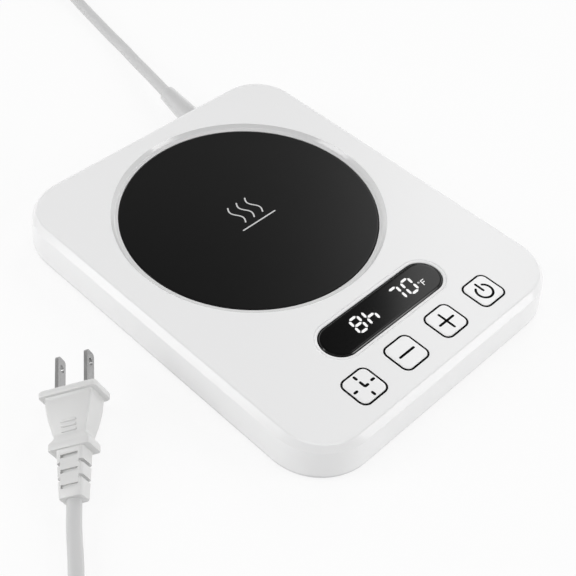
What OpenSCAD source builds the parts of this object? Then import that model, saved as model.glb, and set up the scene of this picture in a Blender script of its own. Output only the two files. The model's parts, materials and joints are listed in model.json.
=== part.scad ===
// Countertop warming mat for a starter jar: a flat bevelled housing with a round heated glass plate,
// a smoked display window, a row of four push keys and a mains cord with a two-blade plug.
// Millimetres, +Z up. The origin is the middle of the footprint on the table; the keys face -Y.

/* [Housing] */
// Width of the housing, along the row of keys
body_w = 161; // [156:1:180]
// Length of the housing, from the keys to the cord
body_l = 200; // [190:1:220]
// Height of the top face above the table
body_h = 20; // [19:0.5:24]
// Corner radius of the housing in plan
corner_r = 26.5; // [22:0.5:30]
// Wall thickness of the top shell
wall = 2.2; // [1.8:0.1:2.6]
// Thickness of the top face
top_t = 2.5; // [2.3:0.1:2.9]
// How far the side walls lean in, from their foot to the bevel
wall_lean = 1.2; // [0:0.1:1.5]
// Height of the bevel round the top face
bevel_h = 3; // [3:0.5:7]
// How far the bevel leans in
bevel_in = 2.8; // [2:0.1:4]
// Radius that softens the two edges of the bevel
bevel_soft = 1.5; // [0.5:0.1:2]

/* [Base pan] */
// Thickness of the base pan's floor
base_t = 1.7; // [1.5:0.1:2]
// Shadow gap between the base pan and the shell
part_gap = 0.2; // [0.1:0.05:0.4]
// How far the base pan's edge stands in from the shell's wall
base_inset = 0.5; // [0.2:0.1:1]
// Height of the lip that centres the base pan in the shell
lip_h = 2.6; // [2:0.1:3.5]
// Thickness of that lip
lip_t = 1.4; // [1:0.1:2]
// Gap between the lip and the shell's wall
lip_gap = 0.2; // [0.1:0.05:0.4]
// Height of the feet below the base pan
foot_h = 1.5; // [1:0.1:2]
// Diameter of a foot
foot_d = 12; // [9:0.5:14]
// Depth of a foot's seat in the base pan
foot_seat = 0.6; // [0.4:0.1:0.9]
// Distance of the feet from the side walls
foot_side = 18; // [14:0.5:24]
// Distance of the feet from the front and back walls
foot_end = 38; // [34:0.5:44]
// Distance of the case screws from the side walls
boss_side = 20.5; // [17:0.5:22]
// Distance of the case screws from the front and back walls
boss_end = 20; // [17:0.5:22]
// Diameter of the screw bosses in the shell
boss_d = 7; // [6:0.5:8]

/* [Layout of the top face] */
// Part of the free length that lies behind the plate
back_share = 0.3475; // [0.3:0.0025:0.37]
// Part of the free length between the plate and the window
window_share = 0.258; // [0.23:0.002:0.28]
// Part of the free length between the window and the keys
key_share = 0.1525; // [0.13:0.0025:0.17]

/* [Warming plate] */
// Diameter of the glass plate
plate_d = 120; // [112:1:124]
// Thickness of the glass plate
plate_t = 3; // [2.5:0.1:3.5]
// How far the plate lies below the top face
plate_drop = 2; // [1.5:0.1:2.5]
// Gap round the plate in its well
well_gap = 0.2; // [0.1:0.05:0.4]
// How far the ring round the plate flares out to the top face
well_flare = 3.3; // [2:0.1:4]
// Wall of the well below the top face
sleeve_t = 2.2; // [1.8:0.1:2.6]
// Width of the ledge that carries the plate
ledge_w = 4; // [3:0.1:5]
// Thickness of that ledge
ledge_t = 2; // [1.5:0.1:2.5]
// Thickness of the gasket under the plate
gasket_t = 0.5; // [0.3:0.1:0.8]
// Thickness of the heater film
film_t = 0.3; // [0.2:0.05:0.5]
// Thickness of the insulation pad
pad_t = 3.7; // [3.5:0.1:3.9]
// Thickness of the retainer under the pad
retainer_t = 1.5; // [1.2:0.1:1.8]
// Distance of the retainer's screws outside the plate's edge
ear_out = 8.5; // [8:0.1:9.5]
// Diameter of the retainer's ears and bosses
ear_d = 8; // [7:0.1:8.5]

/* [Display] */
// Length of the display window
lens_l = 72; // [66:0.5:76]
// Width of the display window, which has round ends
lens_w = 18.5; // [16:0.1:20]
// Thickness of the window
lens_t = 1.8; // [1.5:0.1:1.9]
// How far the window lies below the top face
lens_drop = 0.2; // [0:0.05:0.3]
// Gap round the window
lens_gap = 0.1; // [0.05:0.05:0.2]
// Width of the ledge that carries the window
lens_ledge = 2; // [1.5:0.1:2.5]

/* [Keys] */
// Width of a key cap
key_size = 14; // [12.5:0.1:15]
// Corner radius of a key cap
key_r = 2.8; // [2:0.1:3.5]
// Spacing of the keys
key_pitch = 26; // [25:0.1:27]
// Offset of the row of keys to the right
key_shift = 1.5; // [-1.5:0.1:1.5]
// How far a key stands above the top face
key_raise = 0.3; // [0.3:0.05:0.6]
// Travel of a key
key_travel = 0.3; // [0.2:0.05:0.3]
// Gap round a key cap
key_gap = 0.15; // [0.1:0.05:0.3]
// Width of the dark bezel round a key
bezel_w = 0.65; // [0.5:0.05:1]
// Height of that bezel
bezel_h = 1.8; // [1.4:0.1:2]
// How far a key's flange reaches under the top face
flange_w = 1.5; // [1.2:0.1:2]
// Thickness of a key's flange
flange_t = 1.15; // [0.9:0.05:1.4]
// Gap between a key's flange and the top face
flange_gap = 0.15; // [0.1:0.05:0.3]
// Diameter of the stem under a key
stem_d = 5; // [4:0.1:6]
// Length of the stem under a key
stem_h = 0.8; // [0.6:0.1:1.2]

/* [Electronics] */
// Width of a switch
switch_w = 6; // [5:0.1:7]
// Height of a switch
switch_h = 3.2; // [3:0.1:3.6]
// Diameter of a switch plunger
plunger_d = 3.3; // [2.8:0.1:3.6]
// How far a plunger stands above its switch
plunger_h = 1.2; // [0.9:0.1:1.5]
// Thickness of the circuit boards
board_t = 1.6; // [1.2:0.1:1.8]
// Length of the power board
power_l = 42; // [40:0.5:44]
// Width of the power board
power_w = 25; // [24:0.1:26]
// Height of the posts under the power board
power_post_h = 2.4; // [2:0.1:2.8]
// Gap between the power board and the shell's wall
power_gap = 3.3; // [2.5:0.1:4]

/* [Cord and plug] */
// Diameter of the cord
cord_d = 6; // [5:0.1:6.2]
// Distance of the cord's exit right of the middle
cord_x = 34; // [30:0.5:36]
// Height of the cord's exit above the table
cord_z = 9; // [8.8:0.1:9.4]
// Angle at which the cord leaves, towards the right
cord_lean = 10; // [0:1:12]
// Diameter of the strain relief at the wall
relief_d = 11.5; // [10.5:0.1:11.6]
// Diameter of the strain relief at its tip
relief_tip_d = 8.6; // [8:0.1:9.5]
// Length of the strain relief outside the wall
relief_l = 27; // [22:0.5:36]
// Turns in the put-away coil
coil_turns = 4; // [4:2:6]
// Radius of the middle of the coil's turns
coil_r = 31; // [30:0.5:36]
// Gap between neighbouring turns
coil_gap = 0.6; // [0.5:0.1:1]
// Thickness of the tie round the coil
tie_t = 0.8; // [0.5:0.1:1]
// Width of the tie
tie_w = 8; // [5:0.5:10]
// Width of the plug's front flange
plug_w = 25; // [24:0.1:26]
// Thickness of the plug's front flange
plug_d = 15.5; // [15:0.1:16.5]
// Length of the plug's blades
blade_l = 17.5; // [16:0.1:18.2]
// Width of a blade
blade_w = 6.35; // [6.2:0.05:6.5]
// Thickness of a blade
blade_t = 1.5; // [1.4:0.05:1.6]
// Spacing of the blades
blade_pitch = 12.7; // [12.6:0.05:12.8]

/* [Hidden] */
$fn = 64;
eps = 0.01;

// Heights, from the table up
base_z = foot_h;
base_top = base_z + base_t;
shell_z = base_top + part_gap;
top_under = body_h - top_t;
inner_w = body_w - 2 * wall;
inner_l = body_l - 2 * wall;
inner_r = corner_r - wall;
wall_tilt = atan(wall_lean / (body_h - bevel_h - shell_z));
bevel_slope = bevel_in / bevel_h;
inner_shoulder = body_h - bevel_h - top_t * bevel_slope;

// Warming plate and what lies under it
plate_r = plate_d / 2;
free_l = body_l - plate_d - lens_w - key_size;
plate_y = body_l / 2 - back_share * free_l - plate_r;
plate_top = body_h - plate_drop;
plate_z = plate_top - plate_t;
well_r = plate_r + well_gap;
sleeve_r = well_r + sleeve_t;
ledge_r = plate_r - ledge_w;
ledge_top = plate_z - gasket_t;
ledge_z = ledge_top - ledge_t;
film_z = plate_z - film_t;
film_r = ledge_r - 1;
pad_z = film_z - pad_t;
retainer_z = pad_z - retainer_t;
ear_r = plate_r + ear_out;
ear_neck = ear_d - 1.5;
ear_spots = [for (a = [45:90:315]) [ear_r * cos(a), plate_y + ear_r * sin(a)]];
ntc_r = 1.6;
fuse_r = 1.6;
fuse_l = 11;
fuse_x = 18;
pocket_gap = 0.6;
lead_hole_r = 3.2;
lead_y = plate_y - 34;
lead_x = [-5, 5];

// Window and keys
lens_y = plate_y - plate_r - window_share * free_l - lens_w / 2;
lens_top = body_h - lens_drop;
lens_z = lens_top - lens_t;
key_y = lens_y - lens_w / 2 - key_share * free_l - key_size / 2;
key_x = [for (i = [-1.5:1:1.5]) key_shift + i * key_pitch];
bezel_size = key_size + 2 * (key_gap + bezel_w);
bezel_r = key_r + key_gap + bezel_w;
bezel_z = body_h - bezel_h;
flange_z = top_under - flange_gap - flange_t;
stem_z = flange_z - stem_h;
switch_top = stem_z - plunger_h;
board_top = switch_top - switch_h;
board_z = board_top - board_t;
plunger_depth = 0.6;
plunger_room = key_travel + 0.1;
plunger_gap = 0.1;
led_l = lens_l - 6;
led_w = lens_w - 4.5;
led_gap = 0.3;
lens_chamfer = 0.25;

// Boards
power_x = body_w / 2 - wall - power_gap - power_w / 2;
power_y = -body_l / 2 + boss_end + boss_d / 2 + 1.5 + power_l / 2;
power_z = base_top + power_post_h;
power_top = power_z + board_t;
control_right = power_x - power_w / 2 - 2;
control_left = -48;
control_front = -body_l / 2 + wall + 5;
control_back = lens_y + lens_w / 2 + 2;
control_spots = [
    [control_left + 4, control_back - 3.5], [control_right - 4, control_back - 3.5],
    [key_shift - key_pitch, key_y], [key_shift + key_pitch, key_y]];
power_spots = [
    [power_x - power_w / 2 + 3, power_y - power_l / 2 + 2.6],
    [power_x + power_w / 2 - 3, power_y + power_l / 2 - 2.6]];
small_boss_d = 5;

// Screws: shank radius, head radius, head height
case_screw = [1.45, 2.75, 1.8];
small_screw = [1.1, 2.1, 1.4];
screw_fit = 0.05;
case_spots = [for (sx = [-1, 1], sy = [-1, 1])
    [sx * (body_w / 2 - boss_side), sy * (body_l / 2 - boss_end)]];
boss_join = base_top + 3;
case_seat = base_z + 2.8;
case_screw_l = 11;
base_boss_d = boss_d + 2;
foot_spots = [for (sx = [-1, 1], sy = [-1, 1])
    [sx * (body_w / 2 - foot_side), sy * (body_l / 2 - foot_end)]];

// Cord exit and clamp
cord_r = cord_d / 2;
cord_sides = 10;
bore_gap = 0.15;
exit = [cord_x, body_l / 2, cord_z];
lean = [sin(cord_lean), cos(cord_lean), 0];
across = [lean.y, -lean.x, 0];
relief_neck_r = 4.6;
relief_grip_w = 12;
relief_grip_h = 2 * (min(inner_shoulder - exit.z, exit.z - base_top) - bore_gap);
relief_grip_t = 2;
relief_tip_l = 1.5;
clamp_w = 20;
clamp_l = 6;
clamp_t = 4.4;
clamp_reach = 7;
clamp_in = wall + bore_gap + relief_grip_t + 0.65 + clamp_l / 2;
clamp_y = exit.y - clamp_in;
clamp_x = exit.x - clamp_in * tan(cord_lean);
cord_start = exit - (clamp_in + clamp_l / 2 + 2) * lean;

// Plug: where its front face is, and how it lies on the table
plug_at = [-120.9, -1.8, 12.65];
plug_yaw = 51.4;
plug_pitch = 8.8;
plug_roll = 68;
plug_axis = [cos(plug_yaw) * cos(plug_pitch), sin(plug_yaw) * cos(plug_pitch), sin(plug_pitch)];
flange_back = -2.8;
cup_end = -20.6;
collar_top = -22.8;
collar_end = -26;
neck_end = -46;
cup_steps = 8;
plug_tail = plug_at + neck_end * plug_axis;

// Coil: centre, layers and ends
coil_at = [-106, 190];
coil_head = [-0.6, -0.8, 0];
coil_side = [0.8, -0.6];
turn_step = cord_d + coil_gap;
coil_min_r = coil_r - turn_step * coil_turns / 4;
coil_max_r = coil_r + turn_step * coil_turns / 4;
coil_z = cord_r + tie_t + 0.2;
coil_steps = 24;
coil_sides = 6;
coil_start = [coil_at.x + coil_max_r * coil_side.x, coil_at.y + coil_max_r * coil_side.y, coil_z];
coil_end = coil_start + [0, 0, turn_step];
coil_in = coil_start - cord_d * coil_head;
coil_out = coil_end + cord_d * coil_head;
coil_first = atan2(coil_side.y, coil_side.x);

// Route of the cord from the clamp to the coil
route_out = [
    cord_start,
    exit,
    exit + relief_l / 2 * lean,
    exit + relief_l * lean,
    [44, 147, 6.8],
    [48, 162, 4.8],
    [52, 178, 3.5],
    [55, 194, 3],
    [58, 210, 3],
    [61, 226, 3],
    [64, 242, 3],
    [63, 257, 3],
    [56, 270, 3],
    [44, 279, 3],
    [29, 282, 3],
    [14, 279, 3],
    [2, 270, 3],
    [-8, 257, 3],
    [-17, 245, 3],
    [-26, 233, 3],
    [-35, 221, 3],
    [-44, 209, 3.2],
    [-53, 197, 3.6],
    coil_in - 15 * coil_head,
    coil_in];

// Route of the cord from the coil to the plug
route_in = [
    coil_out,
    coil_out + 15 * coil_head,
    [-97, 138, 9.6],
    [-106, 126, 7.6],
    [-115, 114, 5.4],
    [-124, 102, 3.8],
    [-133, 90, 3],
    [-142, 78, 3],
    [-151, 66, 3],
    [-160, 54, 3],
    [-169, 42, 3],
    [-178, 30, 3],
    [-187, 18, 3],
    [-196, 6, 3],
    [-205, -6, 3],
    [-214, -18, 3],
    [-224, -31, 3],
    [-231, -44, 3],
    [-232, -58, 3],
    [-226, -70, 3],
    [-216, -80, 3],
    [-203, -84, 3],
    [-190, -82, 3],
    [-178, -74, 3],
    [-167, -61, 3.6],
    plug_tail - 12 * plug_axis,
    plug_tail];

// Leads inside the housing
lead_r = 0.9;
thin_lead_r = 0.6;
lead_run = 22;
lead_bend = 12;
sensor_x = 14;
lead_z = base_top + lead_r + 0.1;
block_x = power_x - 1;
terminal_x = [for (i = [-1.5:1:1.5]) block_x + i * 3.4];
terminal_y = power_y + power_l / 2 - 6;
terminal_w = 15;
terminal_l = 8;
terminal_h = 7.5;
film_cap = [16, 7, 7.4];
terminal_face = terminal_y + terminal_l / 2;

function unit(v) = v / norm(v);

// Direction of a path at a point
function heading(path, i) =
    let (last = len(path) - 1)
    i == 0 ? unit(path[1] - path[0])
    : i == last ? unit(path[last] - path[last - 1])
    : unit(unit(path[i + 1] - path[i]) + unit(path[i] - path[i - 1]));

// One ring of a tube round a point
function ring(c, t, r, sides, ref) =
    let (side = unit(cross(ref, t)), over = cross(t, side))
    [for (k = [0:sides - 1])
        let (a = 360 * (k + 0.5) / sides)
        c + r * (cos(a) * side + sin(a) * over)];

// Tube of round section along a path, closed at both ends
module tube(path, r, sides, ref = [0, 0, 1]) {
    n = len(path);
    points = [for (i = [0:n - 1]) each ring(path[i], heading(path, i), r, sides, ref)];
    walls = [for (i = [0:n - 2], k = [0:sides - 1])
        let (a = i * sides + k, b = i * sides + (k + 1) % sides)
        each [[a, a + sides, b + sides], [a, b + sides, b]]];
    first = [for (k = [1:sides - 2]) [0, k, k + 1]];
    base = (n - 1) * sides;
    last = [for (k = [1:sides - 2]) [base, base + k + 1, base + k]];
    polyhedron(points, concat(walls, first, last), convexity = 10);
}

// Arc that softens the corner b of the line a, b, c
function soften(a, b, c, r, steps = 4) =
    let (u = unit(a - b), v = unit(c - b),
        half = acos(u * v) / 2,
        cut = r / tan(half),
        centre = b + unit(u + v) * r / sin(half),
        p = b + cut * u - centre,
        q = b + cut * v - centre)
    [for (i = [0:steps])
        let (m = unit(p * (steps - i) + q * i))
        centre + r * m];

// Rectangle with round corners
module round_rect(w, l, r) {
    square([w - 2 * r, l], center = true);
    square([w, l - 2 * r], center = true);
    for (sx = [-1, 1], sy = [-1, 1])
        translate([sx * (w / 2 - r), sy * (l / 2 - r)]) circle(r);
}

// Block with round corners whose edge follows points of [inset, height], from the bottom up
module edged_block(w, l, r, edge) {
    n = len(edge);
    across = concat([for (p = edge) [w / 2 - p[0], p[1]]],
        [for (i = [n - 1:-1:0]) [edge[i][0] - w / 2, edge[i][1]]]);
    along = concat([for (p = edge) [l / 2 - p[0], p[1]]],
        [for (i = [n - 1:-1:0]) [edge[i][0] - l / 2, edge[i][1]]]);
    corner = concat([[0, edge[0][1]]], [for (p = edge) [r - p[0], p[1]]], [[0, edge[n - 1][1]]]);
    rotate([90, 0, 0]) linear_extrude(l - 2 * r, center = true) polygon(across);
    rotate([90, 0, 90]) linear_extrude(w - 2 * r, center = true) polygon(along);
    for (i = [0:3])
        translate([(i == 0 || i == 3 ? 1 : -1) * (w / 2 - r), (i < 2 ? 1 : -1) * (l / 2 - r), 0])
            rotate(90 * i) rotate_extrude(angle = 90) polygon(corner);
}

// Screw with its head below zero and its shank upwards
module screw(kind, shank_l) {
    slot = kind[1] * 0.3;
    difference() {
        union() {
            translate([0, 0, -kind[2]]) cylinder(r = kind[1], h = kind[2]);
            cylinder(r = kind[0], h = shank_l);
        }
        for (a = [0, 90])
            rotate(a) translate([-kind[1] * 0.6, -slot / 2, -kind[2] - eps])
                cube([kind[1] * 1.2, slot, kind[2] * 0.6]);
    }
}

// Copies of a shape at a list of places
module at(spots, z) {
    for (p = spots)
        translate([p.x, p.y, z]) children();
}

// Edge of the top shell: wall with a slight lean, soft bevel, top face
module shell_outside() {
    foot = [0, shell_z];
    low = [wall_lean, body_h - bevel_h];
    high = [wall_lean + bevel_in, body_h];
    edge = concat([foot], soften(foot, low, high, bevel_soft),
        soften(low, high, high + [bevel_h, 0], bevel_soft));
    edged_block(body_w, body_l, corner_r, edge);
}

// Hollow of the top shell
module shell_inside() {
    edge = [[0, shell_z - 1], [0, inner_shoulder],
        [(top_under - inner_shoulder) * bevel_slope, top_under]];
    edged_block(inner_w, inner_l, inner_r, edge);
}

module shell_solids() {
    difference() {
        shell_outside();
        shell_inside();
    }
    translate([0, plate_y, ledge_z]) cylinder(r = sleeve_r, h = top_under + 1 - ledge_z);
    at(case_spots, boss_join) cylinder(d = boss_d, h = top_under + 1 - boss_join);
    at(ear_spots, pad_z) cylinder(d = ear_d, h = top_under + 1 - pad_z);
    at(control_spots, board_top) cylinder(d = small_boss_d, h = top_under + 1 - board_top);
}

// White moulded shell: bevelled edge, plate well with its flared ring, openings for window and keys
module top_shell() {
    color("whitesmoke") difference() {
        shell_solids();
        translate([0, plate_y, plate_top])
            cylinder(r1 = well_r, r2 = well_r + well_flare, h = plate_drop + eps);
        translate([0, plate_y, ledge_top]) cylinder(r = well_r, h = plate_top - ledge_top + eps);
        translate([0, plate_y, ledge_z - 1]) cylinder(r = ledge_r, h = body_h);
        translate([0, lens_y, lens_z]) linear_extrude(body_h)
            round_rect(lens_l + 2 * lens_gap, lens_w + 2 * lens_gap, lens_w / 2 + lens_gap - eps);
        translate([0, lens_y, top_under - 1]) linear_extrude(body_h)
            round_rect(lens_l - 2 * lens_ledge, lens_w - 2 * lens_ledge, lens_w / 2 - lens_ledge - eps);
        for (x = key_x) translate([x, key_y, 0]) {
            translate([0, 0, bezel_z]) linear_extrude(body_h) round_rect(bezel_size, bezel_size, bezel_r);
            translate([0, 0, top_under - 1]) linear_extrude(body_h)
                round_rect(bezel_size - 2 * bezel_w, bezel_size - 2 * bezel_w, bezel_r - bezel_w);
        }
        at(case_spots, boss_join - eps) cylinder(r = case_screw[0] + screw_fit, h = case_screw_l - 3);
        at(ear_spots, pad_z - eps) cylinder(r = small_screw[0] + screw_fit, h = 5);
        at(control_spots, board_top - eps) cylinder(r = small_screw[0] + screw_fit, h = 5);
        translate(exit + [0, 1, 0]) rotate([90, 0, 0])
            cylinder(r = relief_neck_r + bore_gap, h = wall + 2);
    }
}

// Base pan that closes the housing from below
module base_pan() {
    edge = [[base_inset + 0.4, base_z], [base_inset, base_z + 0.4], [base_inset, base_top]];
    lip_w = inner_w - 2 * lip_gap;
    lip_l = inner_l - 2 * lip_gap;
    lip_r = inner_r - lip_gap;
    color("gainsboro") difference() {
        union() {
            edged_block(body_w, body_l, corner_r, edge);
            translate([0, 0, base_top - eps]) linear_extrude(lip_h + eps) difference() {
                round_rect(lip_w, lip_l, lip_r);
                round_rect(lip_w - 2 * lip_t, lip_l - 2 * lip_t, lip_r - lip_t);
                translate([cord_x, body_l / 2])
                    square([relief_grip_w + 2, 4 * wall + 4 * lip_t], center = true);
            }
            at(case_spots, base_top - eps) cylinder(d = base_boss_d, h = boss_join - base_top + eps);
            at(power_spots, base_top - eps) cylinder(d = small_boss_d, h = power_post_h + eps);
            clamp_saddle();
        }
        at(case_spots, base_z - eps) cylinder(r = case_screw[1] + 0.35, h = case_seat - base_z + eps);
        at(case_spots, base_z) cylinder(r = case_screw[0] + 0.15, h = boss_join);
        at(power_spots, power_z - 3.5) cylinder(r = small_screw[0] + screw_fit, h = 4);
        at(foot_spots, base_z - eps) cylinder(d = foot_d + 0.4, h = foot_seat + eps);
        clamp_spots_cut();
    }
}

// Places of the clamp's screws
clamp_spots = [[clamp_x - clamp_reach, clamp_y], [clamp_x + clamp_reach, clamp_y]];

// Block on the base pan that the cord lies in
module clamp_saddle() {
    translate([clamp_x - clamp_w / 2, clamp_y - clamp_l / 2, base_top - eps])
        cube([clamp_w, clamp_l, exit.z - base_top + eps]);
}

module clamp_spots_cut() {
    at(clamp_spots, base_top + 0.6) cylinder(r = small_screw[0] + screw_fit, h = exit.z);
    cord_bore();
}

// Bar that holds the cord down on the saddle
module cord_clamp() {
    color("silver") difference() {
        translate([clamp_x - clamp_w / 2, clamp_y - clamp_l / 2, exit.z]) cube([clamp_w, clamp_l, clamp_t]);
        cord_bore();
        at(clamp_spots, exit.z - 1) cylinder(r = small_screw[0] + 0.15, h = clamp_t + 2);
    }
}

module clamp_screws() {
    color("gray") at(clamp_spots, exit.z + clamp_t) mirror([0, 0, 1]) screw(small_screw, clamp_t + 4);
}

// Four soft feet in their seats
module rubber_feet() {
    top = base_z + foot_seat;
    color("dimgray") at(foot_spots, 0) rotate_extrude()
        polygon([[0, 0], [foot_d / 2 - 0.5, 0], [foot_d / 2, 0.5], [foot_d / 2, top], [0, top]]);
}

module case_screws() {
    color("gray") at(case_spots, case_seat) screw(case_screw, case_screw_l - 2);
}

// Black glass plate that the jar stands on
module warming_plate() {
    chamfer = 0.4;
    edge = [[plate_r, 0], [plate_r, plate_t - chamfer], [plate_r - chamfer, plate_t]];
    color("black") translate([0, plate_y, plate_z]) rotate_extrude()
        polygon(concat([[0, 0]], edge, [[0, plate_t]]));
}

module plate_gasket() {
    color("dimgray") translate([0, plate_y, ledge_top]) difference() {
        cylinder(r = plate_r - 0.3, h = gasket_t);
        translate([0, 0, -1]) cylinder(r = ledge_r + 0.3, h = gasket_t + 2);
    }
}

module heater_film() {
    color("orange") translate([0, plate_y, film_z]) cylinder(r = film_r, h = film_t);
}

// Felt pad with pockets for the sensor, the fuse and the heater's leads
module insulation_pad() {
    color("lightgray") difference() {
        translate([0, plate_y, pad_z]) cylinder(r = film_r, h = pad_t);
        pad_pockets();
    }
}

module pad_pockets() {
    translate([0, plate_y, retainer_z - 1]) cylinder(r = ntc_r + pocket_gap, h = body_h);
    translate([fuse_x, plate_y, body_h / 2])
        cube([fuse_l + 8 * pocket_gap, 2 * fuse_r + 2 * pocket_gap, body_h], center = true);
    for (x = lead_x)
        translate([x, lead_y, retainer_z - 1]) cylinder(r = lead_hole_r, h = body_h);
}

// Plate with four ears that holds the pad and the film up against the glass
module heater_retainer() {
    color("silver") difference() {
        union() {
            translate([0, plate_y, retainer_z]) cylinder(r = plate_r - 2, h = retainer_t);
            for (a = [45:90:315])
                translate([0, plate_y, retainer_z]) rotate(a)
                    translate([0, -ear_neck / 2, 0]) cube([ear_r, ear_neck, retainer_t]);
            at(ear_spots, retainer_z) cylinder(d = ear_d, h = retainer_t);
        }
        at(ear_spots, retainer_z - 1) cylinder(r = small_screw[0] + 0.15, h = retainer_t + 2);
        pad_pockets();
    }
}

module retainer_screws() {
    color("gray") at(ear_spots, retainer_z) screw(small_screw, retainer_t + 4.5);
}

module ntc_sensor() {
    color("darkgoldenrod") translate([0, plate_y, pad_z + 0.4]) cylinder(r = ntc_r, h = pad_t - 0.4);
}

// Thermal cut-out lying under the film, with its two wire ends
module thermal_fuse() {
    color("burlywood") translate([fuse_x, plate_y, film_z - fuse_r - 0.05]) rotate([0, 90, 0]) {
        cylinder(r = fuse_r, h = fuse_l, center = true);
        cylinder(r = 0.4, h = fuse_l + 4, center = true);
    }
}

// Smoked window with round ends and a small chamfer, flush with the top face
module display_lens() {
    edge = [[0, lens_z], [0, lens_top - lens_chamfer], [lens_chamfer, lens_top]];
    color([0.05, 0.05, 0.06]) translate([0, lens_y, 0]) edged_block(lens_l, lens_w, lens_w / 2 - eps, edge);
}

// Digit module behind the window
module led_display() {
    h = top_under - led_gap - board_top;
    color([0.1, 0.1, 0.1]) translate([-led_l / 2, lens_y - led_w / 2, board_top]) cube([led_l, led_w, h]);
}

module control_board() {
    color("darkgreen") difference() {
        translate([control_left, control_front, board_z])
            cube([control_right - control_left, control_back - control_front, board_t]);
        at(control_spots, board_z - 1) cylinder(r = small_screw[0] + 0.15, h = board_t + 2);
    }
}

module board_screws() {
    color("gray") at(control_spots, board_z) screw(small_screw, board_t + 4.5);
}

// Four short-travel switches on the control board
module switch_bodies() {
    color([0.15, 0.15, 0.15]) difference() {
        for (x = key_x)
            translate([x - switch_w / 2, key_y - switch_w / 2, board_top])
                cube([switch_w, switch_w, switch_h]);
        for (x = key_x)
            translate([x, key_y, switch_top - plunger_depth - plunger_room])
                cylinder(r = plunger_d / 2 + plunger_gap, h = switch_h);
    }
}

// Dark inserts that frame the keys
module key_bezels() {
    hole = bezel_size - 2 * bezel_w;
    color("black") for (x = key_x) translate([x, key_y, bezel_z]) linear_extrude(bezel_h) difference() {
        round_rect(bezel_size, bezel_size, bezel_r);
        round_rect(hole, hole, bezel_r - bezel_w);
    }
}

// One key cap with the flange that keeps it in and the stem that meets its switch
module key(i) {
    flange = key_size + 2 * (key_gap + flange_w);
    color("white") translate([key_x[i], key_y, 0]) {
        translate([0, 0, flange_z + flange_t - eps])
            linear_extrude(body_h + key_raise - flange_z - flange_t + eps)
                round_rect(key_size, key_size, key_r);
        translate([0, 0, flange_z]) linear_extrude(flange_t) round_rect(flange, flange, key_r + flange_w);
        translate([0, 0, stem_z]) cylinder(d = stem_d, h = stem_h + eps);
    }
}

module plunger(i) {
    color("gray") translate([key_x[i], key_y, switch_top - plunger_depth])
        cylinder(d = plunger_d, h = plunger_depth + plunger_h);
}

module timer_key() { key(0); }
module minus_key() { key(1); }
module plus_key() { key(2); }
module power_key() { key(3); }
module timer_plunger() { plunger(0); }
module minus_plunger() { plunger(1); }
module plus_plunger() { plunger(2); }
module power_plunger() { plunger(3); }

module power_board() {
    color("darkgreen") difference() {
        translate([power_x - power_w / 2, power_y - power_l / 2, power_z]) cube([power_w, power_l, board_t]);
        at(power_spots, power_z - 1) cylinder(r = small_screw[0] + 0.15, h = board_t + 2);
    }
}

module power_board_screws() {
    color("gray") at(power_spots, power_top) mirror([0, 0, 1]) screw(small_screw, board_t + 2);
}

// Four-pole block for the mains and heater leads
module terminal_block() {
    color("seagreen") difference() {
        translate([block_x - terminal_w / 2, terminal_y - terminal_l / 2, power_top])
            cube([terminal_w, terminal_l, terminal_h]);
        for (x = terminal_x) {
            translate([x, terminal_face - 4, power_top + 3]) rotate([-90, 0, 0])
                cylinder(r = lead_r + 0.2, h = 5);
            translate([x, terminal_y, power_top + terminal_h - 1.5]) cylinder(r = 1.2, h = 2);
        }
    }
}

module film_capacitor() {
    color("goldenrod") translate([power_x - film_cap[0] / 2, terminal_y - terminal_l / 2 - 3 - film_cap[1], power_top])
        cube(film_cap);
}

module smoothing_capacitor() {
    color("midnightblue") translate([power_x - 6.5, terminal_y - 19.5, power_top + 4]) rotate([0, 90, 0]) {
        cylinder(r = 4, h = 11.5);
        cylinder(r = 3.7, h = 13);
    }
}

module triac() {
    color([0.15, 0.15, 0.15]) translate([power_x - 4.5, terminal_y - 34.5, power_top]) {
        cube([10, 9, 4.4]);
        translate([0, 0, 0]) cube([10, 10, 1.2]);
    }
}

// Two insulated leads from the cord to the terminal block
module mains_leads() {
    side = body_w / 2 - wall - lip_gap - lip_t - 5;
    for (i = [0, 1])
        color(i == 0 ? "white" : "black") tube([
            cord_start + (2.6 * i - 1.3) * across - 0.1 * lean,
            cord_start + (2.6 * i - 1.3) * across - (5.5 - 3 * i) * lean,
            [cord_start.x + 8 + 3 * i, cord_start.y - 11 + 4 * i, lead_z + 1],
            [side - 10 + 3 * i, cord_start.y - lead_run + 4 * i, lead_z],
            [side - 3 + 2.6 * i, plate_y + lead_run, lead_z],
            [side - 3 + 2.6 * i, plate_y - lead_run, lead_z],
            [terminal_x[2 + i] + 1, terminal_face + lead_bend, lead_z + 0.3],
            [terminal_x[2 + i], terminal_face + 2.5, power_top + 3],
            [terminal_x[2 + i], terminal_face - 3, power_top + 3]], lead_r, 6, [0.1, 0, 1]);
}

// Two leads from the heater film down through the pad to the terminal block
module heater_leads() {
    for (i = [0, 1])
        color("firebrick") tube([
            [lead_x[i], lead_y, film_z - 0.1],
            [lead_x[i], lead_y, retainer_z - 1],
            [lead_x[i] + 4, lead_y - 4, lead_z + 0.6],
            [terminal_x[i] - lead_bend - 2, terminal_face + lead_bend + 3 * i, lead_z],
            [terminal_x[i] - 1, terminal_face + 6 + 2 * i, lead_z + 0.3],
            [terminal_x[i], terminal_face + 2.5, power_top + 3],
            [terminal_x[i], terminal_face - 3, power_top + 3]], lead_r, 6, [0.6, 0.8, 0.1]);
}

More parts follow.
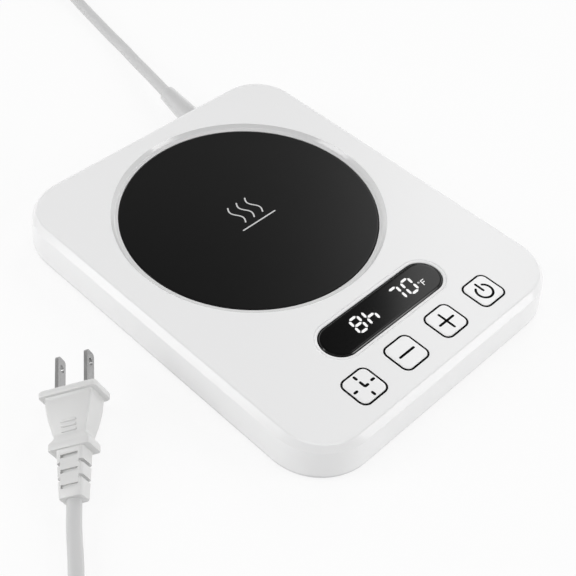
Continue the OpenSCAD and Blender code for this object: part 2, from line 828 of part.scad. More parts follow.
// Two thin leads from the sensor to the control board
module sensor_leads() {
    for (i = [0, 1])
        color("gold") tube([
            [-0.8 + 1.6 * i, plate_y, pad_z + 0.3],
            [-0.8 + 1.6 * i, plate_y - 0.4, retainer_z - 1.5],
            [-6 + 1.6 * i, plate_y - 6, lead_z + 1],
            [1.6 * i - sensor_x, control_back + 8, lead_z + 1],
            [1.6 * i - sensor_x, control_back - 4, lead_z + 2],
            [1.6 * i - sensor_x, control_back - 4, board_z - 0.1]], thin_lead_r, 6, [1, 0.3, 0]);
}

// Flat cable between the two boards
module board_cable() {
    x0 = control_right - 7;
    x1 = power_x - power_w / 2 + 4;
    y = power_y - 14;
    color("lightgray") difference() {
        translate([x0, y, base_top + 0.4]) cube([x1 - x0, 7, board_z - base_top - 0.4]);
        translate([x0 + 0.6, y - 1, base_top + 1]) cube([x1 - x0 - 1.2, 9, board_z]);
        translate([x1 - 0.6 - eps, y - 1, power_z]) cube([2, 9, board_z]);
    }
}

// Moulded strain relief: tapered sleeve outside, neck in the wall, grip inside
module strain_relief() {
    taper = (relief_d - relief_tip_d) / (relief_l - relief_tip_l);
    back = 2;
    color("gainsboro") difference() {
        union() {
            difference() {
                along_cord() {
                    translate([0, 0, -back]) cylinder(
                        d1 = relief_d + back * taper, d2 = relief_tip_d, h = relief_l - relief_tip_l + back);
                    translate([0, 0, relief_l - relief_tip_l])
                        cylinder(d1 = relief_tip_d, d2 = relief_tip_d - relief_tip_l, h = relief_tip_l);
                }
                translate([exit.x, exit.y, shell_z]) rotate([wall_tilt, 0, 0])
                    translate([-relief_d, -2 * relief_d, -body_h])
                        cube([2 * relief_d, 2 * relief_d, 3 * body_h]);
            }
            translate(exit + [0, 0.5, 0]) rotate([90, 0, 0]) cylinder(r = relief_neck_r, h = wall + 1.5);
            translate(exit - [relief_grip_w / 2, wall + bore_gap + relief_grip_t, relief_grip_h / 2])
                cube([relief_grip_w, relief_grip_t, relief_grip_h]);
        }
        cord_bore();
    }
}

// Frame with its origin at the cord's exit and Z along the cord
module along_cord() {
    translate(exit) rotate([-90, 0, -cord_lean]) children();
}

// Room for the cord through the strain relief, the saddle and the clamp
module cord_bore() {
    along_cord() translate([0, 0, -relief_l]) cylinder(r = cord_r + bore_gap, h = 3 * relief_l);
}

module cord_out() {
    color("whitesmoke") tube(route_out, cord_r, cord_sides);
}

module cord_in() {
    color("whitesmoke") tube(route_in, cord_r, cord_sides);
}

// Point of the coil after a number of turns: in along the lower layer, out along the upper one
function coil_point(turn) =
    let (middle = coil_turns / 2,
        r = coil_min_r + turn_step * abs(turn - middle),
        rise = min(1, max(0, 2 * (turn - middle) + 0.5)),
        a = coil_first - 360 * turn)
    [coil_at.x + r * cos(a), coil_at.y + r * sin(a),
        coil_z + turn_step * rise * rise * (3 - 2 * rise)];

coil_turn_points = [for (i = [0:coil_turns * coil_steps]) coil_point(i / coil_steps)];
coil_path = concat([coil_in], coil_turn_points, [coil_out]);

// Least gap between turns of the coil, measured on its points
coil_least_gap = min([for (i = [0:len(coil_turn_points) - 1], j = [0:len(coil_turn_points) - 1])
    if (j - i > coil_steps / 2) norm(coil_turn_points[i] - coil_turn_points[j])]) - cord_d;
echo(coil_least_gap = coil_least_gap);

function path_length(path) = [for (i = [1:len(path) - 1]) norm(path[i] - path[i - 1])] *
    [for (i = [1:len(path) - 1]) 1];
echo(cord_length = path_length(route_out) + path_length(coil_path) + path_length(route_in));

module cord_coil() {
    color("whitesmoke") tube(coil_path, cord_r, coil_sides);
}

// Strap round the far side of the coil
module cord_tie() {
    play = 0.5;
    inner = coil_min_r - cord_r - play;
    outer = coil_max_r + cord_r + play;
    low = coil_z - cord_r - 0.2;
    high = coil_z + turn_step + cord_r + play;
    color("dimgray") translate([coil_at.x, coil_at.y, 0]) rotate(coil_first + 180) difference() {
        translate([inner - tie_t, -tie_w / 2, low - tie_t])
            cube([outer - inner + 2 * tie_t, tie_w, high - low + 2 * tie_t]);
        translate([inner, -tie_w, low]) cube([outer - inner, 2 * tie_w, high - low]);
    }
}

// Half widths of the plug along its length, widest at the front flange
function cup(t, front, back) = front - (front - back) * t * t * (1.4 - 0.4 * t);
function plug_outline(flange, front, waist, collar, neck, tail) = concat(
    [[flange, 0], [flange, flange_back]],
    [for (i = [0:cup_steps])
        [cup(i / cup_steps, front, waist), flange_back + (cup_end - flange_back) * i / cup_steps]],
    [[collar, collar_top], [collar, collar_end], [neck, collar_end], [tail, neck_end]]);

function mirrored(half) = concat(half, [for (i = [len(half) - 1:-1:0]) [-half[i][0], half[i][1]]]);

module lay_plug() {
    translate(plug_at) rotate([0, 0, plug_yaw]) rotate([0, 90 - plug_pitch, 0])
        rotate([0, 0, plug_roll]) children();
}

// Moulded plug: flange, tapering grip, collar and segmented neck
module plug_body() {
    wide = plug_outline(plug_w / 2, plug_w / 2 - 2.5, 6.9, 8.8, 5.8, 4.8);
    thin = plug_outline(plug_d / 2, plug_d / 2 - 1.5, 4.6, 5.8, 4.8, 4);
    color("gainsboro") lay_plug() difference() {
        union() {
            intersection() {
                rotate([90, 0, 0]) linear_extrude(2 * plug_w, center = true) polygon(mirrored(wide));
                rotate([90, 0, 90]) linear_extrude(2 * plug_w, center = true) polygon(mirrored(thin));
            }
            grip_bars();
        }
        neck_slots();
        for (s = [-1, 1])
            translate([s * blade_pitch / 2 - blade_t / 2, -blade_w / 2, -blade_root])
                cube([blade_t, blade_w, blade_root + 1]);
    }
}

blade_root = 8;

// Three bars to grip on the broad face
module grip_bars() {
    for (i = [0:2])
        translate([-3.2, cup(0.75, plug_d / 2 - 1.5, 4.6) - 1.4, -15.5 - 2 * i]) cube([6.4, 1.8, 0.9]);
}

// Cuts that make the neck supple: front and back, then the two sides in between
module neck_slots() {
    step = (collar_end - neck_end) / 6.4;
    for (i = [0:2], s = [-1, 1])
        translate([-3.6, s > 0 ? cord_r + 0.4 : -cord_r - 5.4, collar_end - step * (2 * i + 1.2)])
            cube([7.2, 5, 1.5]);
    for (i = [0:1], s = [-1, 1])
        translate([s > 0 ? cord_r + 0.8 : -cord_r - 5.8, -6, collar_end - step * (2 * i + 2.2)])
            cube([5, 12, 1.5]);
}

// Two flat blades with round-cornered tips and a hole near each tip
module plug_blades() {
    tip_r = 1.6;
    color("silver") lay_plug() for (s = [-1, 1])
        translate([s * blade_pitch / 2, 0, 0]) rotate([90, 0, 90]) linear_extrude(blade_t, center = true)
            difference() {
                union() {
                    translate([-blade_w / 2, -blade_root]) square([blade_w, blade_root + blade_l - tip_r]);
                    translate([tip_r - blade_w / 2, -blade_root])
                        square([blade_w - 2 * tip_r, blade_root + blade_l]);
                    for (e = [-1, 1])
                        translate([e * (blade_w / 2 - tip_r), blade_l - tip_r]) circle(tip_r);
                }
                translate([0, blade_l - 4.9]) circle(1.6);
            }
}

top_shell();
base_pan();
rubber_feet();
case_screws();
warming_plate();
plate_gasket();
heater_film();
insulation_pad();
heater_retainer();
retainer_screws();
ntc_sensor();
thermal_fuse();
display_lens();
led_display();
control_board();
board_screws();
switch_bodies();
key_bezels();
timer_key();
minus_key();
plus_key();
power_key();
timer_plunger();
minus_plunger();
plus_plunger();
power_plunger();
power_board();
power_board_screws();
terminal_block();
film_capacitor();
smoothing_capacitor();
triac();
mains_leads();
heater_leads();
sensor_leads();
board_cable();
cord_clamp();
clamp_screws();
strain_relief();
cord_out();
cord_coil();
cord_in();
cord_tie();
plug_body();
plug_blades();
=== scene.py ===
# %% [markdown]
# # A warming mat for a starter jar
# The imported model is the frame: every piece below sits where its solid is, in metres, with +Z up and
# the keys towards -Y. The box of the model is kept, so that the dressed part can be compared with it.

# %% Load the frame
import json
import math

import bmesh
import bpy
from mathutils import Matrix, Quaternion, Vector


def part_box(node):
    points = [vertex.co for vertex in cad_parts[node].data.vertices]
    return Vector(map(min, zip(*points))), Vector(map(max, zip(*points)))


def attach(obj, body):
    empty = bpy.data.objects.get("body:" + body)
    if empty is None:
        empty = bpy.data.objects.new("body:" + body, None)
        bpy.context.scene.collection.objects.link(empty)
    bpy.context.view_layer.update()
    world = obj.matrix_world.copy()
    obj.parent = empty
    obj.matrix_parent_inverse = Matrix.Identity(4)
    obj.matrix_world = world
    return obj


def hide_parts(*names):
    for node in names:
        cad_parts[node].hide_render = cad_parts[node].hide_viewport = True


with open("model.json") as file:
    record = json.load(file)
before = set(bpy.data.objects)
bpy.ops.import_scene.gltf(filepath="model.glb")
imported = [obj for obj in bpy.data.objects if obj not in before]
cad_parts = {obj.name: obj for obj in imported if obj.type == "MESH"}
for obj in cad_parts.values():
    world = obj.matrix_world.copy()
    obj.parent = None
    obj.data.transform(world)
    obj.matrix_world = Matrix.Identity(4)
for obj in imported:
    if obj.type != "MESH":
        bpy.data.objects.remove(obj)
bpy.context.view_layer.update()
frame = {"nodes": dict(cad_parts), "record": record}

MM = 0.001


def span(node):
    """Lowest and highest corner of a node, in millimetres."""
    low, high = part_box(node)
    return Vector(low) / MM, Vector(high) / MM


def middle(node):
    """Centre of a node as seen from above, in millimetres."""
    low, high = span(node)
    return ((low.x + high.x) / 2, (low.y + high.y) / 2)


def placed(name, data):
    """New object in the scene that shows a mesh, a lamp or a camera."""
    made = bpy.data.objects.new(name, data)
    bpy.context.scene.collection.objects.link(made)
    return made


# %% [markdown]
# ## Camera
# The camera stands where the photograph was taken from: its angles, distance and focal length were
# solved from the ellipse of the plate, the window and the outline of the housing. A small roll is part
# of it. The lens follows from the focal length in pixels on a frame 576 pixels wide.

# %% Camera
FRAME_PX, SENSOR_MM = 576, 36
focal_px, azimuth, elevation, roll = 1108.936, -48.878, 46.602, 4.979
distance, side_step, up_step = 514.498, 2.128, -9.446

a, e, t = (math.radians(v) for v in (azimuth, elevation, roll))
back = Vector((math.sin(a) * math.cos(e), -math.cos(a) * math.cos(e), math.sin(e)))
level = Vector((math.cos(a), math.sin(a), 0))
rise = back.cross(level)
right = math.cos(t) * level + math.sin(t) * rise
up = -math.sin(t) * level + math.cos(t) * rise

camera = placed("Camera", bpy.data.cameras.new("Camera"))
camera.data.sensor_width = SENSOR_MM
camera.data.lens = focal_px / FRAME_PX * SENSOR_MM
camera.data.clip_start = 0.01
camera.matrix_world = Matrix((right, up, back)).transposed().to_4x4()
camera.location = (back * distance + right * side_step + up * up_step) * MM
bpy.context.scene.camera = camera
print("camera at", [round(v, 3) for v in camera.location], "lens", round(camera.data.lens, 2))

# %% [markdown]
# ## Sums on shader values
# A finish is easier to read when its maths looks like maths. `Value` wraps a socket and overloads the
# operators, so that `0.4 + 0.1 * grain` adds the Math nodes by itself. `Graph` wraps a shader tree: its
# `node` method makes any other node from a type, what goes into its sockets and its settings. `Finish` is
# the graph of one material, and all finishes are kept by name, so that pieces and solids can find theirs.


# %% Shader helpers
class Value:
    """A shader value that can stand in a sum."""

    def __init__(self, graph, socket):
        self.graph, self.socket = graph, socket

    def __add__(self, other):
        return self.graph.calc("ADD", self, other)

    def __sub__(self, other):
        return self.graph.calc("SUBTRACT", self, other)

    def __mul__(self, other):
        return self.graph.calc("MULTIPLY", self, other)

    __radd__, __rmul__ = __add__, __mul__


class Graph:
    """A shader tree whose nodes are made by one method."""

    def __init__(self, tree):
        self.tree = tree

    def node(self, kind, sockets=None, out=0, **settings):
        made = self.tree.nodes.new(kind)
        for key, value in settings.items():
            setattr(made, key, value)
        for key, value in (sockets or {}).items():
            self.plug(made.inputs[key], value)
        return Value(self, made.outputs[out])

    def calc(self, operation, *values):
        return self.node("ShaderNodeMath", dict(enumerate(values)), operation=operation)

    def plug(self, socket, value):
        if isinstance(value, Value):
            self.tree.links.new(value.socket, socket)
        else:
            socket.default_value = value


FINISHES = {}


class Finish(Graph):
    """One procedural material, built round a Principled shader."""

    def __init__(self, name, **constants):
        FINISHES[name] = material = bpy.data.materials.new(name)
        material.use_nodes = True
        super().__init__(material.node_tree)
        self.shader = next(n for n in self.tree.nodes if n.type == "BSDF_PRINCIPLED")
        for socket, value in constants.items():
            self.shader.inputs[socket.replace("_", " ")].default_value = value

    def feed(self, name, value):
        self.plug(self.shader.inputs[name], value)

    def place(self, scale=(1, 1, 1), turn=(0, 0, 0), source="Object"):
        coords = self.node("ShaderNodeTexCoord", out=source)
        return self.node("ShaderNodeMapping", {"Vector": coords, "Scale": scale, "Rotation": turn})

    def noise(self, scale, detail=3.0, roughness=0.55, where=None):
        return self.node("ShaderNodeTexNoise", {
            "Vector": where or self.place(), "Scale": scale, "Detail": detail, "Roughness": roughness})

    def blend(self, factor, first, second):
        return self.node("ShaderNodeMix", {0: factor, 6: first, 7: second}, out=2, data_type="RGBA")

    def less(self, first, second):
        return self.calc("LESS_THAN", first, second)

    def along(self, axis):
        return self.node("ShaderNodeSeparateXYZ", {0: self.place()}, out=axis)

    def shade(self, factor, level, low, high):
        return self.blend(factor, grey(level * low), grey(level * high))

    def surface(self, tone, rough, *relief):
        """Feeds the colour, the roughness and, where it is given, a relief of height, strength and depth."""
        self.feed("Base Color", tone)
        self.feed("Roughness", rough)
        if relief:
            height, strength, depth = relief
            self.feed("Normal", self.node("ShaderNodeBump", {
                "Height": height, "Strength": strength, "Distance": depth}))


def grey(level, tint=(1, 1, 1)):
    return (*(level * part for part in tint), 1)


print("shader helpers ready")

# %% [markdown]
# ## Moulded plastics
# The housing is white satin plastic. Its colour drifts very slightly from place to place, and the tool
# that moulded it left a fine grain that breaks up reflections. The base pan has a coarser grain. Both are
# one recipe with other numbers, so a function makes them. The shell adds two things by where a point lies.
# Near the outline and below the top face, the walls and the bevel get some clear coat, and the narrow facet
# at the top edge gets most, so that they mirror the light while the top face stays satin. Within the ring's
# radius of the plate's axis the plastic is coated too, and its colour is painted a shade greyer: painted
# shade for the hollow of the well, on plastic that is as white as the rest.


# %% Plastic finishes
def moulded(name, colour, rough, grain, grain_depth, drift=0.02, detail=None, **constants):
    finish = Finish(name, **constants)
    cloud, spark = finish.noise(14, 2), finish.noise(grain, 2, 0.6)
    tone = finish.blend(cloud, grey(1 - drift, colour), grey(1 + drift, colour))
    tone = detail(finish, tone) if detail else tone
    finish.surface(tone, rough - 0.04 + 0.08 * spark, spark, 0.25, grain_depth)


plate_low, plate_high = span("warming_plate")
plate_c = middle("warming_plate")
plate_r = (plate_high.x - plate_low.x) / 2
plate_gap, flare = 0.2, 3.3
lens_low, lens_high = span("display_lens")
shell_low, shell_high = span("top_shell")
W, L = shell_high.x - shell_low.x, shell_high.y - shell_low.y
TOP, FOOT = shell_high.z, shell_low.z
edge_band, facet_depth, face_depth, hair = 14.0, 0.27, 0.01, 0.05


def shell_coat_and_painted_shade(finish, tone):
    """Clear coat on walls, bevel and the ring round the well, and painted shade, a greyer tone, on that ring.
    """
    def beyond(axis, reach):
        return finish.calc("ABSOLUTE", finish.along(axis)) - reach * MM

    edge = finish.calc("MAXIMUM", beyond("X", W / 2 - edge_band), beyond("Y", L / 2 - edge_band))
    polish = 0.4 + 0.6 * finish.less(0.0, beyond("Z", TOP - facet_depth))
    off = finish.node("ShaderNodeVectorMath", {
        0: finish.place((1, 1, 0)), 1: (plate_c[0] * MM, plate_c[1] * MM, 0)}, "Value", operation="DISTANCE")
    ring_coat_and_painted_shade = finish.less(off, (plate_r + plate_gap + flare - hair) * MM)
    below = finish.less(beyond("Z", TOP - face_depth), 0.0)
    finish.feed("Coat Weight", ring_coat_and_painted_shade + polish * finish.less(0.0, edge) * below)
    # Painted shade: the ring's colour is greyed to stand in for the shade of the well's hollow.
    return finish.blend(ring_coat_and_painted_shade, tone, grey(0.70))


moulded("shell_white", (0.86, 0.86, 0.862), 0.30, 2400, 0.00002, 0.008, shell_coat_and_painted_shade,
        Specular_IOR_Level=0.25, Coat_Roughness=0.12)
moulded("base_white", (0.72, 0.72, 0.725), 0.55, 1500, 0.00006)
moulded("key_white", (0.87, 0.87, 0.872), 0.30, 2600, 0.00002, 0.008)
moulded("plug_white", (0.70, 0.70, 0.695), 0.32, 1800, 0.00003, 0.015)
moulded("bezel_black", (0.002, 0.002, 0.002), 0.5, 2000, 0.00002, Specular_IOR_Level=0.05)
moulded("component_black", (0.03, 0.03, 0.032), 0.5, 1500, 0.00004)
moulded("component_green", (0.06, 0.30, 0.16), 0.45, 1200, 0.00004)
moulded("component_amber", (0.52, 0.27, 0.05), 0.3, 900, 0.00004, 0.08)
moulded("film_orange", (0.55, 0.22, 0.03), 0.25, 700, 0.00002, 0.1)
moulded("lead_white", (0.70, 0.69, 0.66), 0.45, 900, 0.00003)
moulded("lead_red", (0.42, 0.04, 0.03), 0.45, 900, 0.00003)
print("plastics:", *FINISHES)

# %% [markdown]
# ## Glass, rubber, metal and the rest
# The plate and the window are black and polished: a faint film from handling shows as a drift of roughness.
# The window's ground edge is glossier, so a band of heights gets a clear coat. Blades and sheet metal are
# brushed along one direction, screws have an even grain, rubber has a dusty, open surface, and the circuit
# boards carry pale lines of copper under the green lacquer.


# %% Other finishes
def polished_black(name, colour, rough, level, edge=None):
    """Black glass or smoked plastic; an edge is the band of heights that is ground clear and glossier."""
    finish = Finish(name, Specular_IOR_Level=level, IOR=1.5, Coat_Roughness=0.12)
    if edge:
        height = finish.along("Z")
        finish.feed("Coat Weight", finish.less(edge[0] * MM, height) * finish.less(height, edge[1] * MM))
    smear, speck = finish.noise(35, 4, 0.6), finish.noise(900, 2)
    finish.surface(finish.shade(smear, colour, 0.85, 1.15), rough + 0.06 * smear * speck)


def brushed(name, colour, rough, turn, stretch):
    finish = Finish(name, Metallic=1.0)
    lines = finish.noise(1, 4, 0.7, finish.place(stretch, turn))
    finish.surface(finish.shade(lines, colour, 0.8, 1.1), rough + 0.15 * lines, lines, 0.2, 0.00002)


def soft_rubber(name, colour, rough, grain):
    finish = Finish(name, Specular_IOR_Level=0.3)
    dust, pores = finish.noise(60, 3), finish.noise(grain, 3, 0.7)
    finish.surface(finish.shade(dust, colour, 0.8, 1.25), rough + 0.1 * pores, pores, 0.35, 0.00005)


def lacquered_board(name):
    finish = Finish(name)
    traces = finish.node("ShaderNodeTexBrick", {
        "Vector": finish.place(), "Scale": 160.0, "Mortar Size": 0.06, "Color1": (0.015, 0.11, 0.05, 1),
        "Color2": (0.02, 0.14, 0.06, 1), "Mortar": (0.10, 0.22, 0.08, 1)}, offset=0.37)
    finish.surface(traces, 0.35)


def pressed_felt(name):
    finish = Finish(name, Specular_IOR_Level=0.1)
    fibre = finish.noise(600, 5, 0.75, finish.place((1, 3, 1), (0, 0, 0.7)))
    tone = finish.blend(fibre, grey(0.42), grey(0.66, (1, 0.98, 0.94)))
    finish.surface(tone, 0.85 + 0.1 * fibre, fibre, 0.6, 0.0003)


polished_black("plate_black", 0.0006, 0.30, 0.18)
polished_black("lens_black", 0.0012, 0.12, 0.15, (lens_high.z - 0.35, lens_high.z - 0.015))
brushed("blade_nickel", 0.42, 0.22, (0.3, 0.2, 0.9), (60, 60, 2500))
brushed("screw_steel", 0.5, 0.3, (0, 0, 0), (900, 900, 900))
brushed("sheet_aluminium", 0.62, 0.32, (0, 0, 0), (40, 2500, 40))
soft_rubber("foot_rubber", 0.05, 0.7, 1800)
soft_rubber("tie_black", 0.02, 0.75, 900)
lacquered_board("board_green")
pressed_felt("felt_grey")
print(len(FINISHES), "finishes so far")

# %% [markdown]
# ## Mesh helpers
# Most pieces here are lofts: rings with the same number of points, stacked and joined by quads. A ring is
# a rounded rectangle or a circle at some height. Faces turn outwards because the rings run anticlockwise
# from below to above, or because `to_object` turns them.


# %% Mesh helpers
def rounded(w, l, r, n=10, at=(0, 0)):
    """Points of a rounded rectangle, anticlockwise, in millimetres."""
    points = []
    for i, (sx, sy) in enumerate(((1, 1), (-1, 1), (-1, -1), (1, -1))):
        for k in range(n + 1):
            turn = math.radians(90 * (i + k / n))
            points.append((at[0] + sx * (w / 2 - r) + r * math.cos(turn),
                           at[1] + sy * (l / 2 - r) + r * math.sin(turn)))
    return points


def ring(bm, points, z):
    return [bm.verts.new((x, y, z)) for x, y in points]


def grown(bm, w, l, r, section, n, at, upright=False):
    """Rings of a rounded rectangle that grows along a section of points (growth, place), level or upright."""
    rings = []
    for d, place in section:
        points = rounded(w + 2 * d, l + 2 * d, r + d, n, at)
        rings.append([bm.verts.new((x, place, y) if upright else (x, y, place)) for x, y in points])
    return rings


def loft(bm, rings, lids=False):
    """Quads between stacked rings, with a lid on either end if asked."""
    n = len(rings[0])
    for low, high in zip(rings, rings[1:]):
        for k in range(n):
            bm.faces.new((low[k], low[(k + 1) % n], high[(k + 1) % n], high[k]))
    if lids:
        bm.faces.new(rings[0][::-1])
        bm.faces.new(rings[-1])


def fill(bm, loops, upwards):
    """Flat face between a closed outer loop and the loops of its holes."""
    pairs = [pair for loop in loops for pair in zip(loop, loop[1:] + loop[:1])]
    edges = [bm.edges.get(pair) or bm.edges.new(pair) for pair in pairs]
    made = bmesh.ops.triangle_fill(bm, use_beauty=True, use_dissolve=False, edges=edges)
    for face in made["geom"]:
        if isinstance(face, bmesh.types.BMFace):
            face.normal_update()
            if (face.normal.z > 0) != upwards:
                face.normal_flip()


def arc(centre, r, first, last, steps):
    """Points of an arc in a plane, angles in degrees."""
    angles = [math.radians(first + (last - first) * i / steps) for i in range(steps + 1)]
    return [(centre[0] + r * math.cos(w), centre[1] + r * math.sin(w)) for w in angles]


def circle(r, n, at=(0, 0)):
    return arc(at, r, 0, 360, n)[:-1]


def hoop(bm, centre, r, side, over, n):
    """Ring round a centre, in the plane of two directions."""
    return [bm.verts.new(centre + r * (math.cos(w) * side + math.sin(w) * over))
            for w in (2 * math.pi * k / n for k in range(n))]


def smooth(mesh, crisp):
    """Smooth shading that keeps edges sharper than an angle crisp."""
    mesh.shade_smooth()
    mesh.set_sharp_from_angle(angle=math.radians(crisp))


def apply(piece):
    """Puts what a piece's modifiers make in place of its mesh."""
    made = bpy.data.meshes.new_from_object(piece.evaluated_get(bpy.context.evaluated_depsgraph_get()))
    piece.modifiers.clear()
    piece.data = made
    return made


def to_object(name, bm, finish, crisp=32, recalc=True):
    if recalc:
        bmesh.ops.recalc_face_normals(bm, faces=bm.faces)
    mesh = bpy.data.meshes.new(name)
    bm.to_mesh(mesh)
    bm.free()
    mesh.transform(Matrix.Scale(MM, 4))
    mesh.materials.append(FINISHES[finish])
    smooth(mesh, crisp)
    return placed(name, mesh)


def finish_piece(piece, slot, *nodes, body="housing"):
    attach(piece, body)
    if nodes:
        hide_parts(*nodes)
    print(piece.name, "-", len(piece.data.polygons), "faces on", body)


# %% [markdown]
# ## Mains cord
# The cord is one smooth tube from the clamp inside the housing, through the coil that keeps the spare
# length, to the plug. It could be a bevelled curve, but a mesh tube carries its own map along its length.
# The route has the same points as the solids; a Catmull-Rom curve runs through them, and the coil comes
# from its own rule: it spirals in along the lower layer and out along the upper one.

# %% Cord route
cord_r = 3.0
exit_at = Vector((34, 100, 9))
exit_turn = math.radians(10)
lean = Vector((math.sin(exit_turn), math.cos(exit_turn), 0))
clamp_in, relief_l, coil_lead, plug_lead = 12.8, 27.0, 15.0, 12.0
coil_at, coil_r, coil_turns, turn_step, coil_z = Vector((-106, 190, 0)), 31.0, 4, 6.6, 4.0
coil_head, coil_side = Vector((-0.6, -0.8, 0)), Vector((0.8, -0.6, 0))
plug_at = Vector((-120.9, -1.8, 12.65))
plug_yaw, plug_pitch, plug_roll = 51.4, 8.8, 68
lay_plug = Matrix.Translation(plug_at)
for angle, axis in ((plug_yaw, "Z"), (90 - plug_pitch, "Y"), (plug_roll, "Z")):
    lay_plug = lay_plug @ Matrix.Rotation(math.radians(angle), 4, axis)
plug_l = 46.0
plug_tail = lay_plug @ Vector((0, 0, -plug_l))
plug_axis = (plug_at - plug_tail).normalized()

coil_half = turn_step * coil_turns / 4
coil_out_r = coil_r + coil_half
coil_start = coil_at + coil_out_r * coil_side + Vector((0, 0, coil_z))
coil_in = coil_start - 2 * cord_r * coil_head
coil_out = coil_start + Vector((0, 0, turn_step)) + 2 * cord_r * coil_head

route_out = [exit_at + s * lean for s in (-clamp_in, 0, relief_l / 2, relief_l)] + [Vector(p) for p in (
    (44, 147, 6.8), (48, 162, 4.8), (52, 178, 3.5), (55, 194, 3), (58, 210, 3), (61, 226, 3), (64, 242, 3),
    (63, 257, 3), (56, 270, 3), (44, 279, 3), (29, 282, 3), (14, 279, 3), (2, 270, 3), (-8, 257, 3),
    (-17, 245, 3), (-26, 233, 3), (-35, 221, 3), (-44, 209, 3.2), (-53, 197, 3.6))] + [
    coil_in - coil_lead * coil_head, coil_in]
route_in = [coil_out, coil_out + coil_lead * coil_head] + [Vector(p) for p in (
    (-97, 138, 9.6), (-106, 126, 7.6), (-115, 114, 5.4), (-124, 102, 3.8), (-133, 90, 3), (-142, 78, 3),
    (-151, 66, 3), (-160, 54, 3), (-169, 42, 3), (-178, 30, 3), (-187, 18, 3), (-196, 6, 3), (-205, -6, 3),
    (-214, -18, 3), (-224, -31, 3), (-231, -44, 3), (-232, -58, 3), (-226, -70, 3), (-216, -80, 3),
    (-203, -84, 3), (-190, -82, 3), (-178, -74, 3), (-167, -61, 3.6))] + [
    plug_tail - plug_lead * plug_axis, plug_tail]


def coil_point(turn):
    """Point of the coil after some turns; it climbs to the upper layer half way."""
    half_way = coil_turns / 2
    r = coil_r - coil_half + turn_step * abs(turn - half_way)
    climb = min(1, max(0, 2 * (turn - half_way) + 0.5))
    angle = math.atan2(coil_side.y, coil_side.x) - 2 * math.pi * turn
    return coil_at + Vector((r * math.cos(angle), r * math.sin(angle),
                             coil_z + turn_step * climb * climb * (3 - 2 * climb)))


def through(points, steps):
    """Catmull-Rom curve through the points, with a number of steps in each stretch."""
    ends = [2 * points[0] - points[1]] + points + [2 * points[-1] - points[-2]]
    line = []
    for p, q, r, s in zip(ends, ends[1:], ends[2:], ends[3:]):
        for i in range(steps):
            u = i / steps
            line.append(0.5 * (2 * q + (r - p) * u + (2 * p - 5 * q + 4 * r - s) * u * u
                               + (3 * q - p - 3 * r + s) * u ** 3))
    return line + [points[-1]]


turn_steps, route_steps, cord_sides = 40, 6, 20
coil_path = [coil_point(i / turn_steps) for i in range(turn_steps * coil_turns + 1)]
cord_path = through(route_out, route_steps) + coil_path + through(route_in, route_steps)
cord_length = sum((q - p).length for p, q in zip(cord_path, cord_path[1:]))
print("cord:", len(cord_path), "points,", round(cord_length), "mm")

# %% [markdown]
# ## Cord jacket
# Soft white vinyl with a satin skin, and faint draw lines along its length from the nozzle that made it.
# The draw lines follow the tube, so they read the map that the sweep writes: across the map is round the
# cord, along it is metres of cord. The strain relief comes from a polished mould, so the same recipe gives
# it a clear coat.


# %% Cord mesh
def vinyl(name, colour, rough, coat, coat_rough):
    finish = Finish(name, IOR=1.5, Coat_Weight=coat, Coat_Roughness=coat_rough)
    draw = finish.noise(1, 1, 0.4, finish.place((5, 3, 1), source="UV"))
    tone = finish.shade(finish.noise(30, 2), colour, 0.97, 1.02)
    finish.surface(tone, rough - 0.05 + 0.12 * draw, draw, 0.02, 0.00005)


def sweep(name, path, radius, sides, finish):
    """Round tube along a path, with its frame carried along so that it doesn't twist."""
    bm = bmesh.new()
    uv = bm.loops.layers.uv.new("along")
    side = (path[1] - path[0]).normalized().orthogonal().normalized()
    rings, run, travelled = [], [], 0.0
    for i, p in enumerate(path):
        ahead = path[min(i + 1, len(path) - 1)] - path[max(i - 1, 0)]
        side = (side - side.project(ahead)).normalized()
        over = ahead.normalized().cross(side)
        travelled += (p - path[i - 1]).length if i else 0.0
        run.append(travelled)
        rings.append(hoop(bm, p, radius, side, over, sides))
    loft(bm, rings, lids=True)
    for count, face in enumerate(list(bm.faces)[:-2]):
        i, k = divmod(count, sides)
        for loop, (u, v) in zip(face.loops, ((k, i), (k + 1, i), (k + 1, i + 1), (k, i + 1))):
            loop[uv].uv = (u / sides, run[v] * MM)
    return to_object(name, bm, finish, crisp=50, recalc=False)


vinyl("cord_white", 0.61, 0.46, 0.0, 0.3)
cord = sweep("mains_cord", cord_path, cord_r, cord_sides, "cord_white")
finish_piece(cord, "cord_white", "cord_out", "cord_coil", "cord_in")

# %% [markdown]
# ## Strain relief
# A tapered sleeve holds the cord where it leaves the housing. It is a turned form on the cord's own line, so
# it is a stack of rings along that line: full at the wall, slimmer to the tip, with a soft shoulder.

# %% Strain relief
relief_profile = [(-3.0, 5.9), (0.0, 5.75), (8.0, 5.3), (16.0, 4.9), (24.0, 4.45)]
relief_profile += [(25.2 + 1.3 * math.sin(w), 3.35 + 1.05 * math.cos(w))
                   for w in map(math.radians, (0, 20, 40, 60, 75, 90))]
relief_profile += [(26.4, 3.05), (20.0, 3.05)]
across, down, relief_sides = Vector((lean.y, -lean.x, 0)), Vector((0, 0, -1)), 48
bm = bmesh.new()
loft(bm, [hoop(bm, exit_at + s * lean, r, across, down, relief_sides) for s, r in relief_profile], lids=True)
vinyl("relief_white", 0.60, 0.3, 1.0, 0.12)
relief = to_object("strain_relief_sleeve", bm, "relief_white", crisp=40)
finish_piece(relief, "cord_white", "strain_relief")

# %% [markdown]
# ## Plug
# The plug is moulded round its blades: a flange, a cup that curves in to a waist, a collar, and a neck
# whose slots let it bend. Stacked rounded rectangles give the body. It is made upright, and laid where the
# solid lies when the rest of it is done.

# %% Plug body
def cup(u, front, waist):
    """Half width of the cup at a share of its length."""
    return front - (front - waist) * u * u * (1.4 - 0.4 * u)


